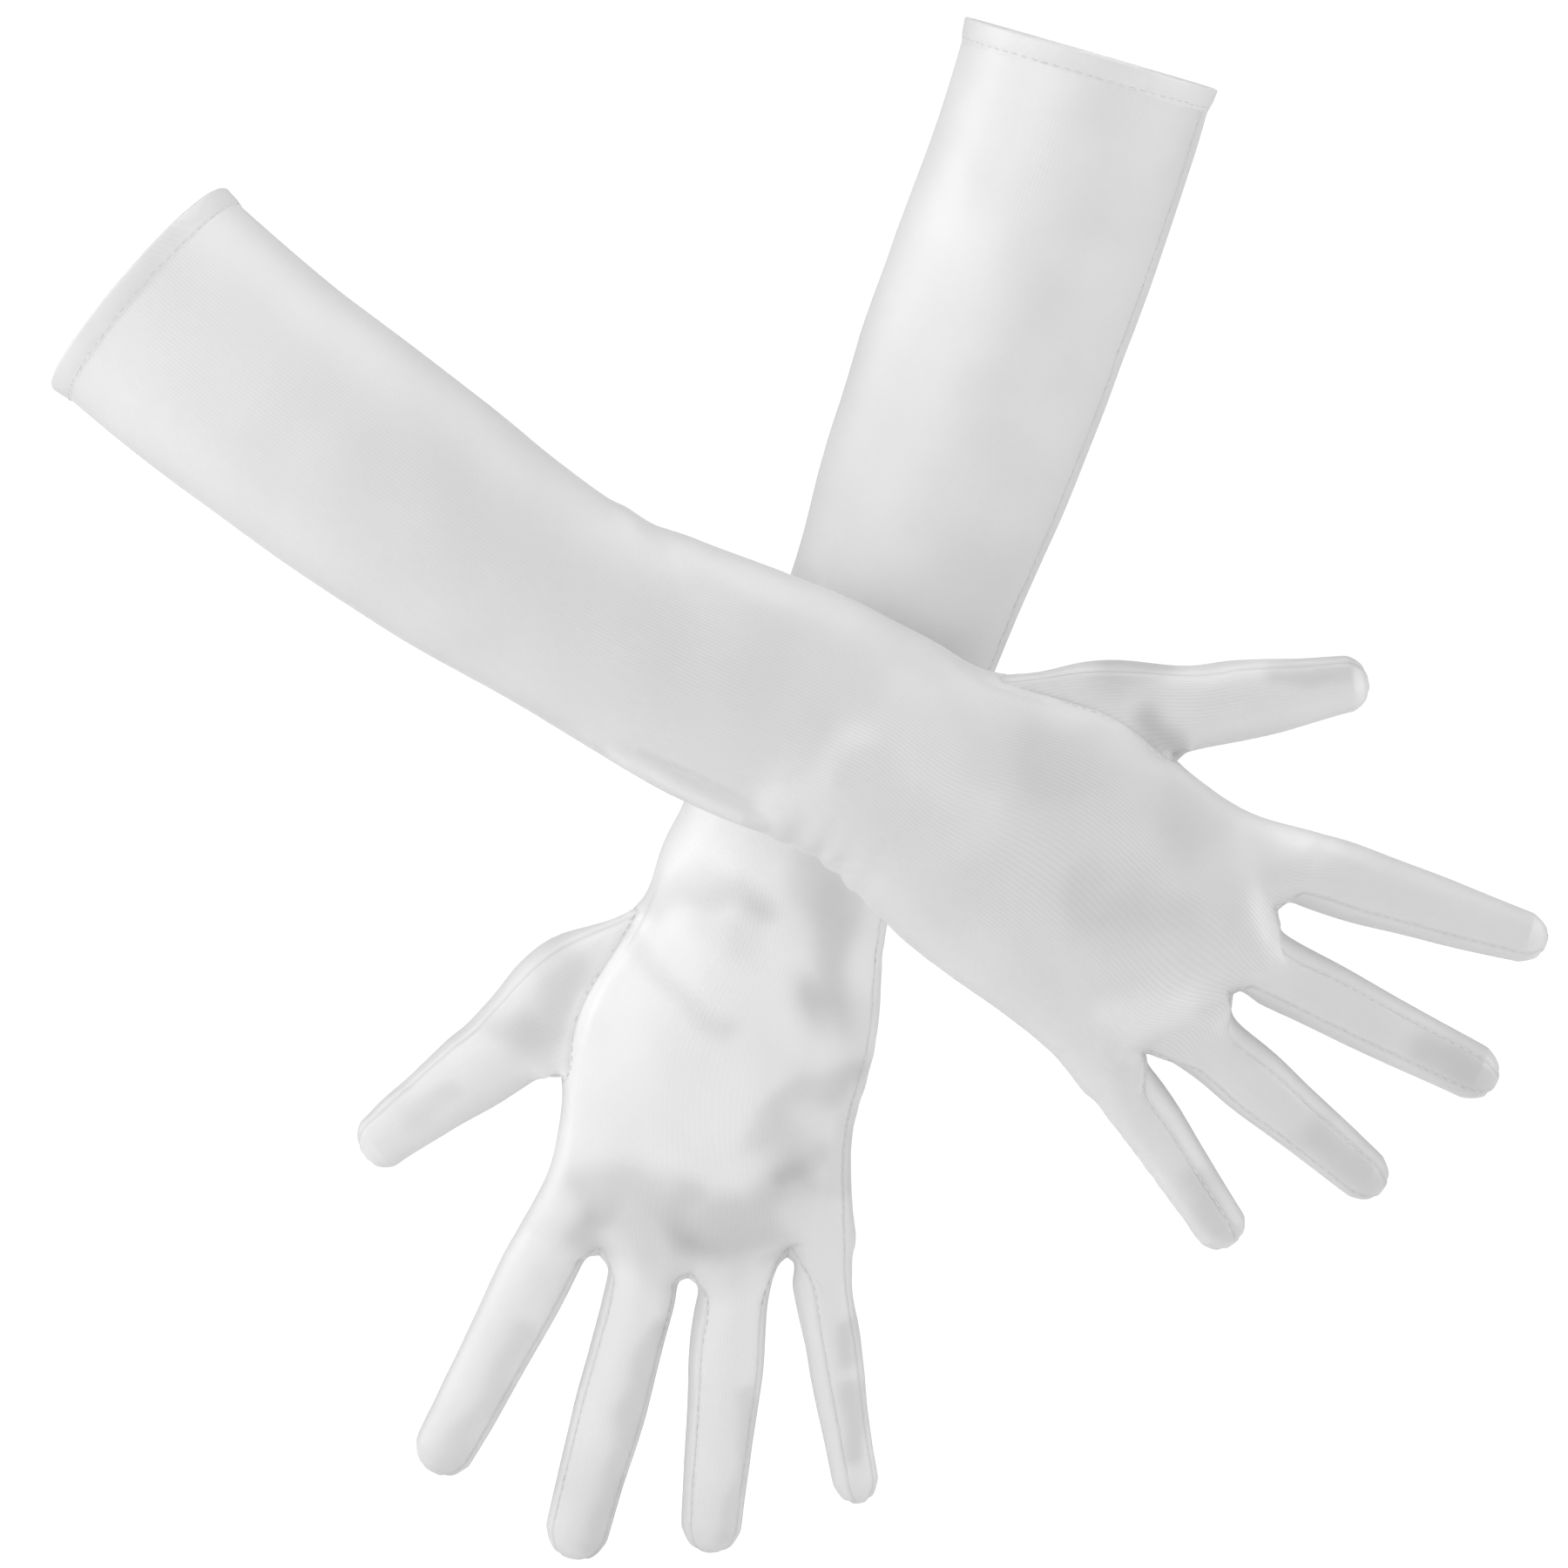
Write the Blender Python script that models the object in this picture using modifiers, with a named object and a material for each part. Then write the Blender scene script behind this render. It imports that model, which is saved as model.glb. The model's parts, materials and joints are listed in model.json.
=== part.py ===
"""A pair of elbow-length stretch-satin opera gloves, held crossed at the wrists.

Each glove is drawn in its own frame, in metres: U runs across the palm towards the thumb,
V out of the back of the hand and W towards the fingertips, from the middle of the wrist.
The left glove is the mirror image of the right one. Both stand upright in the XZ plane
with the backs of the hands facing -Y, the right glove in front, and the pair's lowest
point is on the floor, z = 0.

A glove is cut from cloth panels: one panel for back, palm and sleeve that closes in a side
seam on the little-finger edge, a set-in thumb, fourchettes between the fingers with a small
gusset at each crotch, and a turned hem. A panel that crosses a joint of the hand is divided
there, so that the piece on each side can turn.
"""

import math
from collections import namedtuple

import bmesh
import bpy
import numpy as np
from mathutils import Vector

MM = 0.001

# Cloth and sewing
FABRIC = 0.8 * MM
SEAM_GAP = 0.5 * MM
SIDE_SEAM_GAP = 1.6 * MM
THUMB_SEAM_GAP = 2.8 * MM
SEAM_CORD_RADIUS = 0.45 * MM
THREAD_RADIUS = 0.25 * MM
THREAD_STANDOFF = 0.1 * MM
HEM_WIDTH = 5.5 * MM
HEM_STITCH_INSET = 4.7 * MM
HEM_FLARE = 0.6 * MM
SEAM_END_INSET = 1 * MM  # the seam's folded edge stops this far short of the hem and the wrist
SATIN_ROUGHNESS = 0.38
THREAD_ROUGHNESS = 0.5

# Sleeve: distance up the arm from the wrist, half width and half depth of the section
SLEEVE_LENGTH = 221 * MM
SLEEVE_STATIONS = np.array([0, 40, 85, 130, 180, 221]) * MM
SLEEVE_HALF_WIDTH = np.array([30.9, 31.0, 29.2, 32.0, 32.4, 32.8]) * MM
SLEEVE_HALF_DEPTH = np.array([21.0, 22.0, 24.5, 28.0, 31.0, 32.0]) * MM
SLEEVE_RINGS = 11
WRIST_EASE = 30 * MM  # length over which the sleeve turns from the hand's line to its own

# Hand: one row per ring, from the wrist to the last ring before the knuckles
HandRing = namedtuple("HandRing", "along ulnar radial half_depth thumb_corner little_corner")
HAND_RINGS = [
    HandRing(0, -31.5, 30.0, 21.0, 18, 18),
    HandRing(15, -33.5, 33.0, 19.5, 28, 21),
    HandRing(30, -36.8, 36.0, 18.0, 38, 25),
    HandRing(45, -38.6, 36.8, 16.5, 42, 29),
    HandRing(60, -40.4, 35.0, 15.5, 42, 33),
    HandRing(78, -43.2, 33.6, 14.0, 42, 37),
]
HAND_SHIFT_END = 60 * MM  # beyond this the hand has no sideways drift towards the sleeve
PALM_SQUARENESS = 2.5
SLEEVE_SQUARENESS = 2.1

# Knuckle line: outer edge of the index, the three crotches, outer edge of the little finger
KNUCKLES = [(37.8, 99.0), (15.8, 102.0), (-7.0, 103.6), (-30.3, 92.5), (-47.0, 88.0)]
KNUCKLE_HALF_DEPTH = 12 * MM
CROTCH_HALF_DEPTH = 7.5 * MM

# Fingers: base and tip of the middle line in (U, W), how far along the hinge rings stand,
# and half width at the base, at mid length and before the rounded tip
Finger = namedtuple("Finger", "name base tip knuckle_at bend_at half_width")
FINGERS = {
    "right": [
        Finger("index", (28.4, 100.1), (43.7, 163.6), 5, 30, (10.4, 8.5, 6.5)),
        Finger("middle", (3.4, 102.5), (7.8, 170.5), 6, 31, (10.4, 8.2, 6.9)),
        Finger("ring", (-19.2, 99.0), (-29.2, 160.0), 8, 30, (10.3, 8.0, 6.6)),
        Finger("little", (-39.2, 90.9), (-59.9, 135.3), 5, 24, (8.3, 7.3, 6.5)),
        Finger("thumb", (42.2, 50.8), (77.2, 92.8), 10, 32, (11.0, 9.4, 6.9)),
    ],
    "left": [
        Finger("index", (28.4, 100.1), (45.9, 166.1), 5, 31, (10.4, 8.8, 7.8)),
        Finger("middle", (4.0, 102.5), (6.6, 179.5), 6, 36, (10.2, 9.2, 8.2)),
        Finger("ring", (-18.6, 99.2), (-27.6, 170.4), 8, 34, (10.3, 8.9, 7.8)),
        Finger("little", (-38.0, 91.4), (-62.2, 149.2), 5, 29, (8.4, 7.0, 5.8)),
        Finger("thumb", (43.5, 49.0), (81.5, 91.4), 10, 32, (11.4, 9.8, 7.4)),
    ],
}
FINGER_NUMBERS = (0, 1, 2, 3, "thumb")
LITTLE = 3
FINGER_DEPTH_SHARE = 0.95  # a finger's depth as a share of its width
THUMB_SINK = (-4.0, -8.0)  # how far the thumb's middle line lies on the palm side, base and tip
TIP_ROUND_SHARE = 0.12
TIP_ROUND_STEPS = (0.5, 0.8, 0.96)
TIP_FLATNESS = 2.35  # 2 would round the fingertip as a circle, more makes it blunter
FINGER_SQUARENESS = 2.4

# Where each glove is held: its wrist, the fall of its hand below the horizontal, the drift
# of the sleeve's middle line towards the thumb, and the sleeve's lean out of the back
Glove = namedtuple("Glove", "side hand wrist fall drift lean bends_back")
GLOVES = [
    Glove("right", 1, (25.4, -26.0, 7.4), 31.0, (0.0, -5.1, -8.3, -5.7, -1.6, 4.8), -1.0, True),
    Glove("left", -1, (-8.3, 26.0, -23.9), 102.8, (-5, -13.8, -21.5, -26.8, -33.0, -37.0), 8.0, False),
]

SATIN = (0.86, 0.86, 0.87)
FOURCHETTE_SATIN = (0.90, 0.90, 0.91)
THREAD_WHITE = (0.93, 0.93, 0.94)

COLUMNS = 30  # panel columns round the hand: twelve back, three side, twelve palm, three side
SIDE_SEAM_COLUMN = 12
PALM_CORNER_COLUMN = 27
KNUCKLE_RING = len(HAND_RINGS)
THUMB_HOLE_RINGS = (1, 4)
FINGER_SIDES = 12
BASE_RINGS = (1, 2)  # a finger's rings from the knuckle hinge on; the middle hinge is at the next
BEND_RING = 3
BACK, ULNAR_SIDE, PALM, THUMB_SIDE = (0, 1, 2), (3, 4, 5), (6, 7, 8), (9, 10, 11)


def clear_scene():
    for obj in list(bpy.data.objects):
        bpy.data.objects.remove(obj, do_unlink=True)


def new_collection(name):
    collection = bpy.data.collections.new(name)
    bpy.context.scene.collection.children.link(collection)
    return collection


def cloth_material(name, color, roughness):
    material = bpy.data.materials.new(name)
    material.use_nodes = True
    shader = material.node_tree.nodes["Principled BSDF"]
    shader.inputs["Base Color"].default_value = (*color, 1.0)
    shader.inputs["Roughness"].default_value = roughness
    shader.inputs["Metallic"].default_value = 0.0
    material.diffuse_color = (*color, 1.0)
    return material


def on_section(angle, squareness):
    """A point of the unit superellipse: a circle at 2, squarer above it."""
    across, out = math.cos(angle), math.sin(angle)
    power = 2 / squareness
    return math.copysign(abs(across) ** power, across), math.copysign(abs(out) ** power, out)


def column_angles(thumb_corner, little_corner):
    """Angles of the hand's columns, from the thumb-side corner of the back and round."""
    back = np.linspace(thumb_corner, 180 - little_corner, 13)
    little_side = np.linspace(180 - little_corner, 180 + little_corner, 4)[1:-1]
    palm = np.linspace(180 + little_corner, 360 - thumb_corner, 13)
    thumb_side = np.linspace(360 - thumb_corner, 360 + thumb_corner, 4)[1:-1]
    return np.radians(np.concatenate([back, little_side, palm, thumb_side]))


class Cage:
    """The inner surface of one glove as named points, with its place in the world."""

    def __init__(self, glove):
        fall = math.radians(glove.fall)
        self.glove = glove
        self.fingers = dict(zip(FINGER_NUMBERS, FINGERS[glove.side]))
        self.along = Vector((math.cos(fall), 0, -math.sin(fall)))
        self.thumbward = Vector((math.sin(fall), 0, math.cos(fall))) * glove.hand
        self.out = Vector((0, -1, 0))
        self.wrist = Vector(glove.wrist) * MM
        self.drift = np.polynomial.Polynomial.fit(SLEEVE_STATIONS, np.array(glove.drift) * MM, 4)
        self.points = {}
        self.add_sleeve()
        self.add_hand()
        self.add_knuckles()
        for number, finger in self.fingers.items():
            self.add_finger(number, finger)

    def world(self, u, v, w):
        return self.wrist + self.thumbward * u + self.out * v + self.along * w

    def sleeve_middle(self, up):
        """(U, V, W) of the sleeve's middle line at this distance up the arm."""
        eased = up - WRIST_EASE / 2
        if up < WRIST_EASE:
            eased = up * up / (2 * WRIST_EASE)
        return np.array([self.drift(up), math.tan(math.radians(self.glove.lean)) * eased, -up])

    def sleeve_axes(self, up):
        """Middle of the section, its thumbward and outward axes and its normal up the arm."""
        step = 1 * MM
        slope = (self.sleeve_middle(up + step) - self.sleeve_middle(up)) / step
        straight = np.array([0, 0, -1])
        normal = straight + (slope - straight) * min(up / WRIST_EASE, 1)
        normal /= np.linalg.norm(normal)
        across = np.array([1, 0, 0]) - normal[0] * normal
        across /= np.linalg.norm(across)
        outward = np.cross(across, normal)
        return self.sleeve_middle(up), across, outward, normal

    def sleeve_point(self, up, column, grow):
        middle, across, outward, _ = self.sleeve_axes(up)
        corner = HAND_RINGS[0].thumb_corner
        angle = column_angles(corner, corner)[column % COLUMNS]
        x, y = on_section(angle, SLEEVE_SQUARENESS)
        half_width = np.interp(up, SLEEVE_STATIONS, SLEEVE_HALF_WIDTH) - FABRIC + grow
        half_depth = np.interp(up, SLEEVE_STATIONS, SLEEVE_HALF_DEPTH) - FABRIC + grow
        return self.world(*(middle + across * x * half_width + outward * y * half_depth))

    def add_sleeve(self):
        self.sleeve_ups = np.linspace(0, SLEEVE_LENGTH - HEM_WIDTH, SLEEVE_RINGS)
        for ring, up in enumerate(self.sleeve_ups):
            for column in range(SIDE_SEAM_COLUMN, SIDE_SEAM_COLUMN + COLUMNS + 1):
                self.points["sleeve", ring, column] = self.sleeve_point(up, column, 0)

    def hand_shift(self, w):
        return self.drift(0) * max(0, 1 - w / HAND_SHIFT_END)

    def add_hand(self):
        for number, ring in enumerate(HAND_RINGS):
            w = ring.along * MM
            middle = (ring.ulnar + ring.radial) / 2 * MM + self.hand_shift(w)
            half_width = (ring.radial - ring.ulnar) / 2 * MM - FABRIC
            half_depth = ring.half_depth * MM - FABRIC
            angles = column_angles(ring.thumb_corner, ring.little_corner)
            squareness = np.interp(number, [0, 3], [SLEEVE_SQUARENESS, PALM_SQUARENESS])
            for column in range(SIDE_SEAM_COLUMN, SIDE_SEAM_COLUMN + COLUMNS + 1):
                x, y = on_section(angles[column % COLUMNS], squareness)
                point = self.world(middle + x * half_width, y * half_depth, w)
                self.points["hand", number, column] = point
            for column in range(SIDE_SEAM_COLUMN):
                self.points["hand", number, column] = self.points["hand", number, column + COLUMNS]

    def knuckle_point(self, u, v):
        """A point of the ring where the hand opens into the fingers."""
        line = np.array(KNUCKLES) * MM
        w = np.interp(-u, -line[:, 0], line[:, 1])
        return self.world(u, v, w)

    def add_knuckles(self):
        line = np.array(KNUCKLES) * MM
        for number in range(LITTLE + 1):
            thumb_edge, little_edge = line[number, 0], line[number + 1, 0]
            middle, half = (thumb_edge + little_edge) / 2, (thumb_edge - little_edge) / 2
            for side, key in enumerate(self.finger_root(number)):
                angle = math.radians(45 + 30 * side)
                x, y = on_section(angle, FINGER_SQUARENESS)
                crotch = key[0] == "crotch" or key in self.crotch_ends()
                u = (thumb_edge if x > 0 else little_edge) if crotch else middle + x * (half - FABRIC)
                depth = CROTCH_HALF_DEPTH if crotch else KNUCKLE_HALF_DEPTH
                self.points[key] = self.knuckle_point(u, y * (depth - FABRIC))

    def crotch_ends(self):
        backs = [("hand", KNUCKLE_RING, column) for column in (3, 6, 9)]
        palms = [("hand", KNUCKLE_RING, PALM_CORNER_COLUMN - column) for column in (3, 6, 9)]
        return backs + palms

    def finger_root(self, number):
        """The twelve points of the hand that a finger grows from, in the finger's order."""
        if number == "thumb":
            low, high = THUMB_HOLE_RINGS
            climb = range(low, high + 1)
            back = [("hand", ring, 0) for ring in climb]
            crotch = [("hand", high, 29), ("hand", high, 28)]
            palm = [("hand", ring, PALM_CORNER_COLUMN) for ring in reversed(climb)]
            return back + crotch + palm + [("hand", low, 28), ("hand", low, 29)]
        first = 3 * number
        back = [("hand", KNUCKLE_RING, first + step) for step in range(4)]
        palm = [("hand", KNUCKLE_RING, PALM_CORNER_COLUMN - first - 3 + step) for step in range(4)]
        ulnar = [("crotch", number, 0), ("crotch", number, 1)]
        radial = [("crotch", number - 1, 1), ("crotch", number - 1, 0)]
        if number == LITTLE:
            ulnar = [("hand", KNUCKLE_RING, 13), ("hand", KNUCKLE_RING, 14)]
        if number == 0:
            radial = [("hand", KNUCKLE_RING, 28), ("hand", KNUCKLE_RING, 29)]
        return back + ulnar + palm + radial

    def finger_axes(self, finger):
        sink = THUMB_SINK if finger.name == "thumb" else (0, 0)
        base = np.array([finger.base[0], sink[0], finger.base[1]]) * MM
        tip = np.array([finger.tip[0], sink[1], finger.tip[1]]) * MM
        length = np.linalg.norm(tip - base)
        forward = (tip - base) / length
        across = np.array([forward[2], 0, -forward[0]])
        across /= np.linalg.norm(across)
        return base, forward, across, np.cross(forward, across), length

    def finger_rings(self, finger, length):
        """Distances along the finger: knuckle hinge, middle hinge, and the rounded tip."""
        knuckle, bend = finger.knuckle_at * MM, finger.bend_at * MM
        round_from = length * (1 - TIP_ROUND_SHARE)
        rounding = [round_from + share * (length - round_from) for share in TIP_ROUND_STEPS]
        middle = [(knuckle + bend) / 2, bend, (bend + round_from) / 2, round_from]
        return [knuckle, *middle, *rounding]

    def finger_half_width(self, finger, at, length):
        stations = np.array([0, 0.5, 1 - TIP_ROUND_SHARE]) * length
        return np.interp(at, stations, finger.half_width) * MM

    def add_finger(self, number, finger):
        base, forward, across, outward, length = self.finger_axes(finger)
        for ring, at in enumerate(self.finger_rings(finger, length), start=1):
            past = max(0, at / length - 1 + TIP_ROUND_SHARE) / TIP_ROUND_SHARE
            rounding = (1 - past**TIP_FLATNESS) ** (1 / TIP_FLATNESS)
            outer_half = self.finger_half_width(finger, at, length) * rounding
            half_width, half_depth = outer_half - FABRIC, outer_half * FINGER_DEPTH_SHARE - FABRIC
            for side in range(FINGER_SIDES):
                x, y = on_section(math.radians(45 + 30 * side), FINGER_SQUARENESS)
                point = base + forward * at + across * x * half_width + outward * y * half_depth
                self.points[number, ring, side] = self.world(*point)

    def finger_key(self, number, ring, side):
        side %= FINGER_SIDES
        return self.finger_root(number)[side] if ring == 0 else (number, ring, side)

    def hinge(self, finger, at):
        """Where a finger bends at this distance along it: its palm-side surface."""
        base, forward, _, outward, length = self.finger_axes(finger)
        half_depth = self.finger_half_width(finger, at, length) * FINGER_DEPTH_SHARE
        return self.world(*(base + forward * at - outward * half_depth))

    def wrist_hinge(self):
        """The wrist turns about its back where the hand bends back, else about its palm side."""
        ring = HAND_RINGS[0]
        middle = (ring.ulnar + ring.radial) / 2 * MM + self.hand_shift(0)
        side = 1 if self.glove.bends_back else -1
        return self.world(middle, side * ring.half_depth * MM, 0)


def outward_order(quads, cage):
    return quads if cage.glove.hand > 0 else [quad[::-1] for quad in quads]


def draw_back(bm, gap_of):
    """Pulls every border of the open surface back by half of its seam's gap."""
    pulls = {}
    for edge in bm.edges:
        if not edge.is_boundary:
            continue
        face = edge.link_faces[0]
        start, end = edge.verts
        inward = face.normal.cross(end.co - start.co).normalized()
        if inward.dot(face.calc_center_median() - start.co) < 0:
            inward.negate()
        for vert in edge.verts:
            pulls.setdefault(vert, []).append((inward, gap_of(edge) / 2))
    for vert, ((first, first_pull), (second, second_pull)) in pulls.items():
        spread = 1 + first.dot(second)
        if spread > 0.1:
            vert.co += (first * first_pull + second * second_pull) / spread


def new_object(name, data, body, material):
    obj = bpy.data.objects.new(name, data)
    obj.parent = body
    GLOVE_PARTS.objects.link(obj)
    data.materials.append(material)
    return obj


def body_empty(name, place, parent):
    """An empty at a joint, which carries the pieces that turn about it."""
    empty = bpy.data.objects.new(name, None)
    empty.empty_display_size = 10 * MM
    empty.parent = parent
    empty.location = place - (absolute(parent) if parent else Vector())
    GLOVE_PARTS.objects.link(empty)
    return empty


def absolute(obj):
    place = Vector()
    while obj:
        place += obj.location
        obj = obj.parent
    return place


def panel(name, cage, quads, body, color=SATIN, wide_keys=(), wide_gap=SEAM_GAP, thickness=FABRIC):
    """A cloth panel: an open surface, drawn back from its seams and thickened outwards."""
    origin = absolute(body)
    bm = bmesh.new()
    wide = bm.verts.layers.int.new("wide_seam")
    verts = {}
    for key in dict.fromkeys(key for quad in quads for key in quad):
        verts[key] = bm.verts.new(cage.points[key] - origin)
        verts[key][wide] = key in wide_keys
    for quad in outward_order(quads, cage):
        bm.faces.new([verts[key] for key in quad])
    bm.normal_update()
    draw_back(bm, lambda edge: wide_gap if all(vert[wide] for vert in edge.verts) else SEAM_GAP)
    mesh = bpy.data.meshes.new(name)
    bm.to_mesh(mesh)
    bm.free()
    mesh.shade_smooth()
    obj = new_object(name, mesh, body, cloth_material(name + "_satin", color, SATIN_ROUGHNESS))
    solidify = obj.modifiers.new("Cloth thickness", "SOLIDIFY")
    solidify.thickness = thickness
    solidify.offset = 1
    return obj


def cord(name, points, radius, body, closed=False):
    """A seam's folded edge or a thread: a round cord through the points."""
    origin = absolute(body)
    curve = bpy.data.curves.new(name, "CURVE")
    curve.dimensions = "3D"
    curve.bevel_depth = radius
    curve.bevel_resolution = 0
    curve.use_fill_caps = True
    spline = curve.splines.new("POLY")
    spline.points.add(len(points) - 1)
    for control, point in zip(spline.points, points):
        control.co = (*(point - origin), 1)
    spline.use_cyclic_u = closed
    return new_object(name, curve, body, cloth_material(name + "_thread", THREAD_WHITE, THREAD_ROUGHNESS))


def tube_quads(key, rings, sides):
    """Quads of a tube: key(ring, side) names a point, and the sides run round it."""
    return [
        (key(ring, side), key(ring, side + 1), key(ring + 1, side + 1), key(ring + 1, side))
        for ring in rings
        for side in sides
    ]


def build_sleeve(cage, body):
    side = cage.glove.side
    top_ring = SLEEVE_RINGS - 1
    columns = range(SIDE_SEAM_COLUMN, SIDE_SEAM_COLUMN + COLUMNS)
    slit = {("sleeve", ring, SIDE_SEAM_COLUMN) for ring in range(SLEEVE_RINGS)}
    slit |= {("sleeve", ring, SIDE_SEAM_COLUMN + COLUMNS) for ring in range(SLEEVE_RINGS)}
    quads = tube_quads(lambda ring, column: ("sleeve", top_ring - ring, column), range(top_ring), columns)
    panel(f"{side}_sleeve_panel", cage, quads, body, wide_keys=slit, wide_gap=SIDE_SEAM_GAP)

    seam_ups = np.linspace(SEAM_END_INSET, SLEEVE_LENGTH - HEM_WIDTH - SEAM_END_INSET, SLEEVE_RINGS)
    seam = [cage.sleeve_point(up, SIDE_SEAM_COLUMN, FABRIC / 2) for up in seam_ups]
    cord(f"{side}_sleeve_seam", seam, SEAM_CORD_RADIUS, body)
    build_hem(cage, body)


def build_hem(cage, body):
    """The cuff's turned hem, two layers thick, and the thread that holds it down."""
    side = cage.glove.side
    _, _, _, normal = cage.sleeve_axes(SLEEVE_LENGTH)
    up_arm = cage.world(*normal) - cage.wrist
    rim = [cage.sleeve_point(SLEEVE_LENGTH, column, HEM_FLARE) for column in range(COLUMNS)]
    for column, point in enumerate(rim):
        cage.points["hem", 1, column] = point
        cage.points["hem", 0, column] = point - up_arm * HEM_WIDTH
    quads = tube_quads(lambda ring, column: ("hem", 1 - ring, column % COLUMNS), range(1), range(COLUMNS))
    panel(f"{side}_cuff_hem", cage, quads, body, thickness=2 * FABRIC)

    clear = HEM_FLARE + 2 * FABRIC + THREAD_STANDOFF + THREAD_RADIUS
    outer = [cage.sleeve_point(SLEEVE_LENGTH, column, clear) for column in range(COLUMNS)]
    stitches = [point - up_arm * HEM_STITCH_INSET for point in outer]
    cord(f"{side}_hem_stitching", stitches, THREAD_RADIUS, body, closed=True)


def build_hand(cage, body):
    """The back and palm in one panel, up to the hinge rings of the four fingers."""
    side = cage.glove.side
    low, high = THUMB_HOLE_RINGS
    last = SIDE_SEAM_COLUMN + COLUMNS

    def key(ring, column):
        split = ring < KNUCKLE_RING and column == last
        return "hand", ring, column if split else column % COLUMNS

    quads = [
        quad
        for ring in range(KNUCKLE_RING)
        for column, quad in enumerate(
            tube_quads(key, [ring], range(SIDE_SEAM_COLUMN, last)), start=SIDE_SEAM_COLUMN
        )
        if not (low <= ring < high and column % COLUMNS >= PALM_CORNER_COLUMN)
    ]
    for number in range(LITTLE + 1):
        sides = [*BACK, *PALM]
        sides += THUMB_SIDE if number == 0 else ()
        sides += ULNAR_SIDE if number == LITTLE else ()
        quads += tube_quads(lambda ring, step: cage.finger_key(number, ring, step), [0], sides)
    hole = set(cage.finger_root("thumb"))
    slit = {key(ring, column) for ring in range(KNUCKLE_RING) for column in (SIDE_SEAM_COLUMN, last)}
    panel(
        f"{side}_hand_panel", cage, quads, body, wide_keys=hole | slit, wide_gap=THUMB_SEAM_GAP
    )

    seam = [cage.points["hand", ring, SIDE_SEAM_COLUMN] for ring in range(KNUCKLE_RING)]
    seam[0] = seam[0] + cage.along * SEAM_END_INSET
    outward = cage.thumbward * -FABRIC / 2
    cord(f"{side}_hand_seam", [point + outward for point in seam], SEAM_CORD_RADIUS, body)


def build_thumb_root(cage, body):
    side = cage.glove.side
    root = cage.finger_root("thumb")
    quads = tube_quads(lambda ring, step: cage.finger_key("thumb", ring, step), [0], range(FINGER_SIDES))
    panel(f"{side}_thumb_root", cage, quads, body, wide_keys=set(root), wide_gap=THUMB_SEAM_GAP)
    seam = [cage.points[key] + cage.thumbward * FABRIC / 2 for key in root]
    cord(f"{side}_thumb_seam", seam, SEAM_CORD_RADIUS, body, closed=True)


def build_thumb_base(cage, body):
    quads = tube_quads(
        lambda ring, step: cage.finger_key("thumb", ring, step), BASE_RINGS, range(FINGER_SIDES)
    )
    panel(f"{cage.glove.side}_thumb_base", cage, quads, body)


def build_gussets(cage, body):
    """The small pieces at the crotches, each running onto the sides of both fingers."""
    for number in range(LITTLE):
        near, far = cage.fingers[number].name, cage.fingers[number + 1].name
        quads = tube_quads(lambda ring, step: cage.finger_key(number, ring, step), [0], ULNAR_SIDE)
        quads += tube_quads(lambda ring, step: cage.finger_key(number + 1, ring, step), [0], THUMB_SIDE)
        name = f"{cage.glove.side}_gusset_{near}_{far}"
        panel(name, cage, quads, body, color=FOURCHETTE_SATIN)


def build_finger_base(cage, number, finger, body):
    """From the knuckle hinge to the middle hinge: back and palm cloth, and the fourchettes."""
    name = f"{cage.glove.side}_{finger.name}_base"

    def strip(label, sides, color=SATIN):
        quads = tube_quads(lambda ring, step: cage.finger_key(number, ring, step), BASE_RINGS, sides)
        panel(label, cage, quads, body, color=color)

    first, last = number == 0, number == LITTLE
    if first:
        strip(f"{name}_panel", THUMB_SIDE + BACK + PALM)
    elif last:
        strip(f"{name}_panel", BACK + ULNAR_SIDE + PALM)
    else:
        strip(f"{name}_back", BACK)
        strip(f"{name}_palm", PALM)
    if not last:
        strip(f"{cage.glove.side}_{finger.name}_ulnar_fourchette", ULNAR_SIDE, FOURCHETTE_SATIN)
    if not first:
        strip(f"{cage.glove.side}_{finger.name}_radial_fourchette", THUMB_SIDE, FOURCHETTE_SATIN)


def build_finger_tip(cage, number, finger, body):
    """From the middle hinge to the closed, rounded end."""
    last = len(cage.finger_rings(finger, 1))
    quads = tube_quads(
        lambda ring, step: cage.finger_key(number, ring, step), range(BEND_RING, last), range(FINGER_SIDES)
    )
    end = [cage.finger_key(number, last, step) for step in range(FINGER_SIDES)]
    panel(f"{cage.glove.side}_{finger.name}_tip", cage, quads + [tuple(end)], body)


def build_glove(glove):
    cage = Cage(glove)
    side = glove.side
    root = body_empty(f"{side}_sleeve_place", cage.wrist, None)
    hand = body_empty(f"{side}_wrist_hinge", cage.wrist_hinge(), root)
    build_sleeve(cage, root)
    build_hand(cage, hand)
    build_thumb_root(cage, hand)
    build_gussets(cage, hand)
    for number, finger in cage.fingers.items():
        knuckle = cage.hinge(finger, finger.knuckle_at * MM)
        bend = cage.hinge(finger, finger.bend_at * MM)
        base_body = body_empty(f"{side}_{finger.name}_base_hinge", knuckle, hand)
        tip_body = body_empty(f"{side}_{finger.name}_tip_hinge", bend, base_body)
        if number == "thumb":
            build_thumb_base(cage, base_body)
        else:
            build_finger_base(cage, number, finger, base_body)
        build_finger_tip(cage, number, finger, tip_body)
    return root


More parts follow.
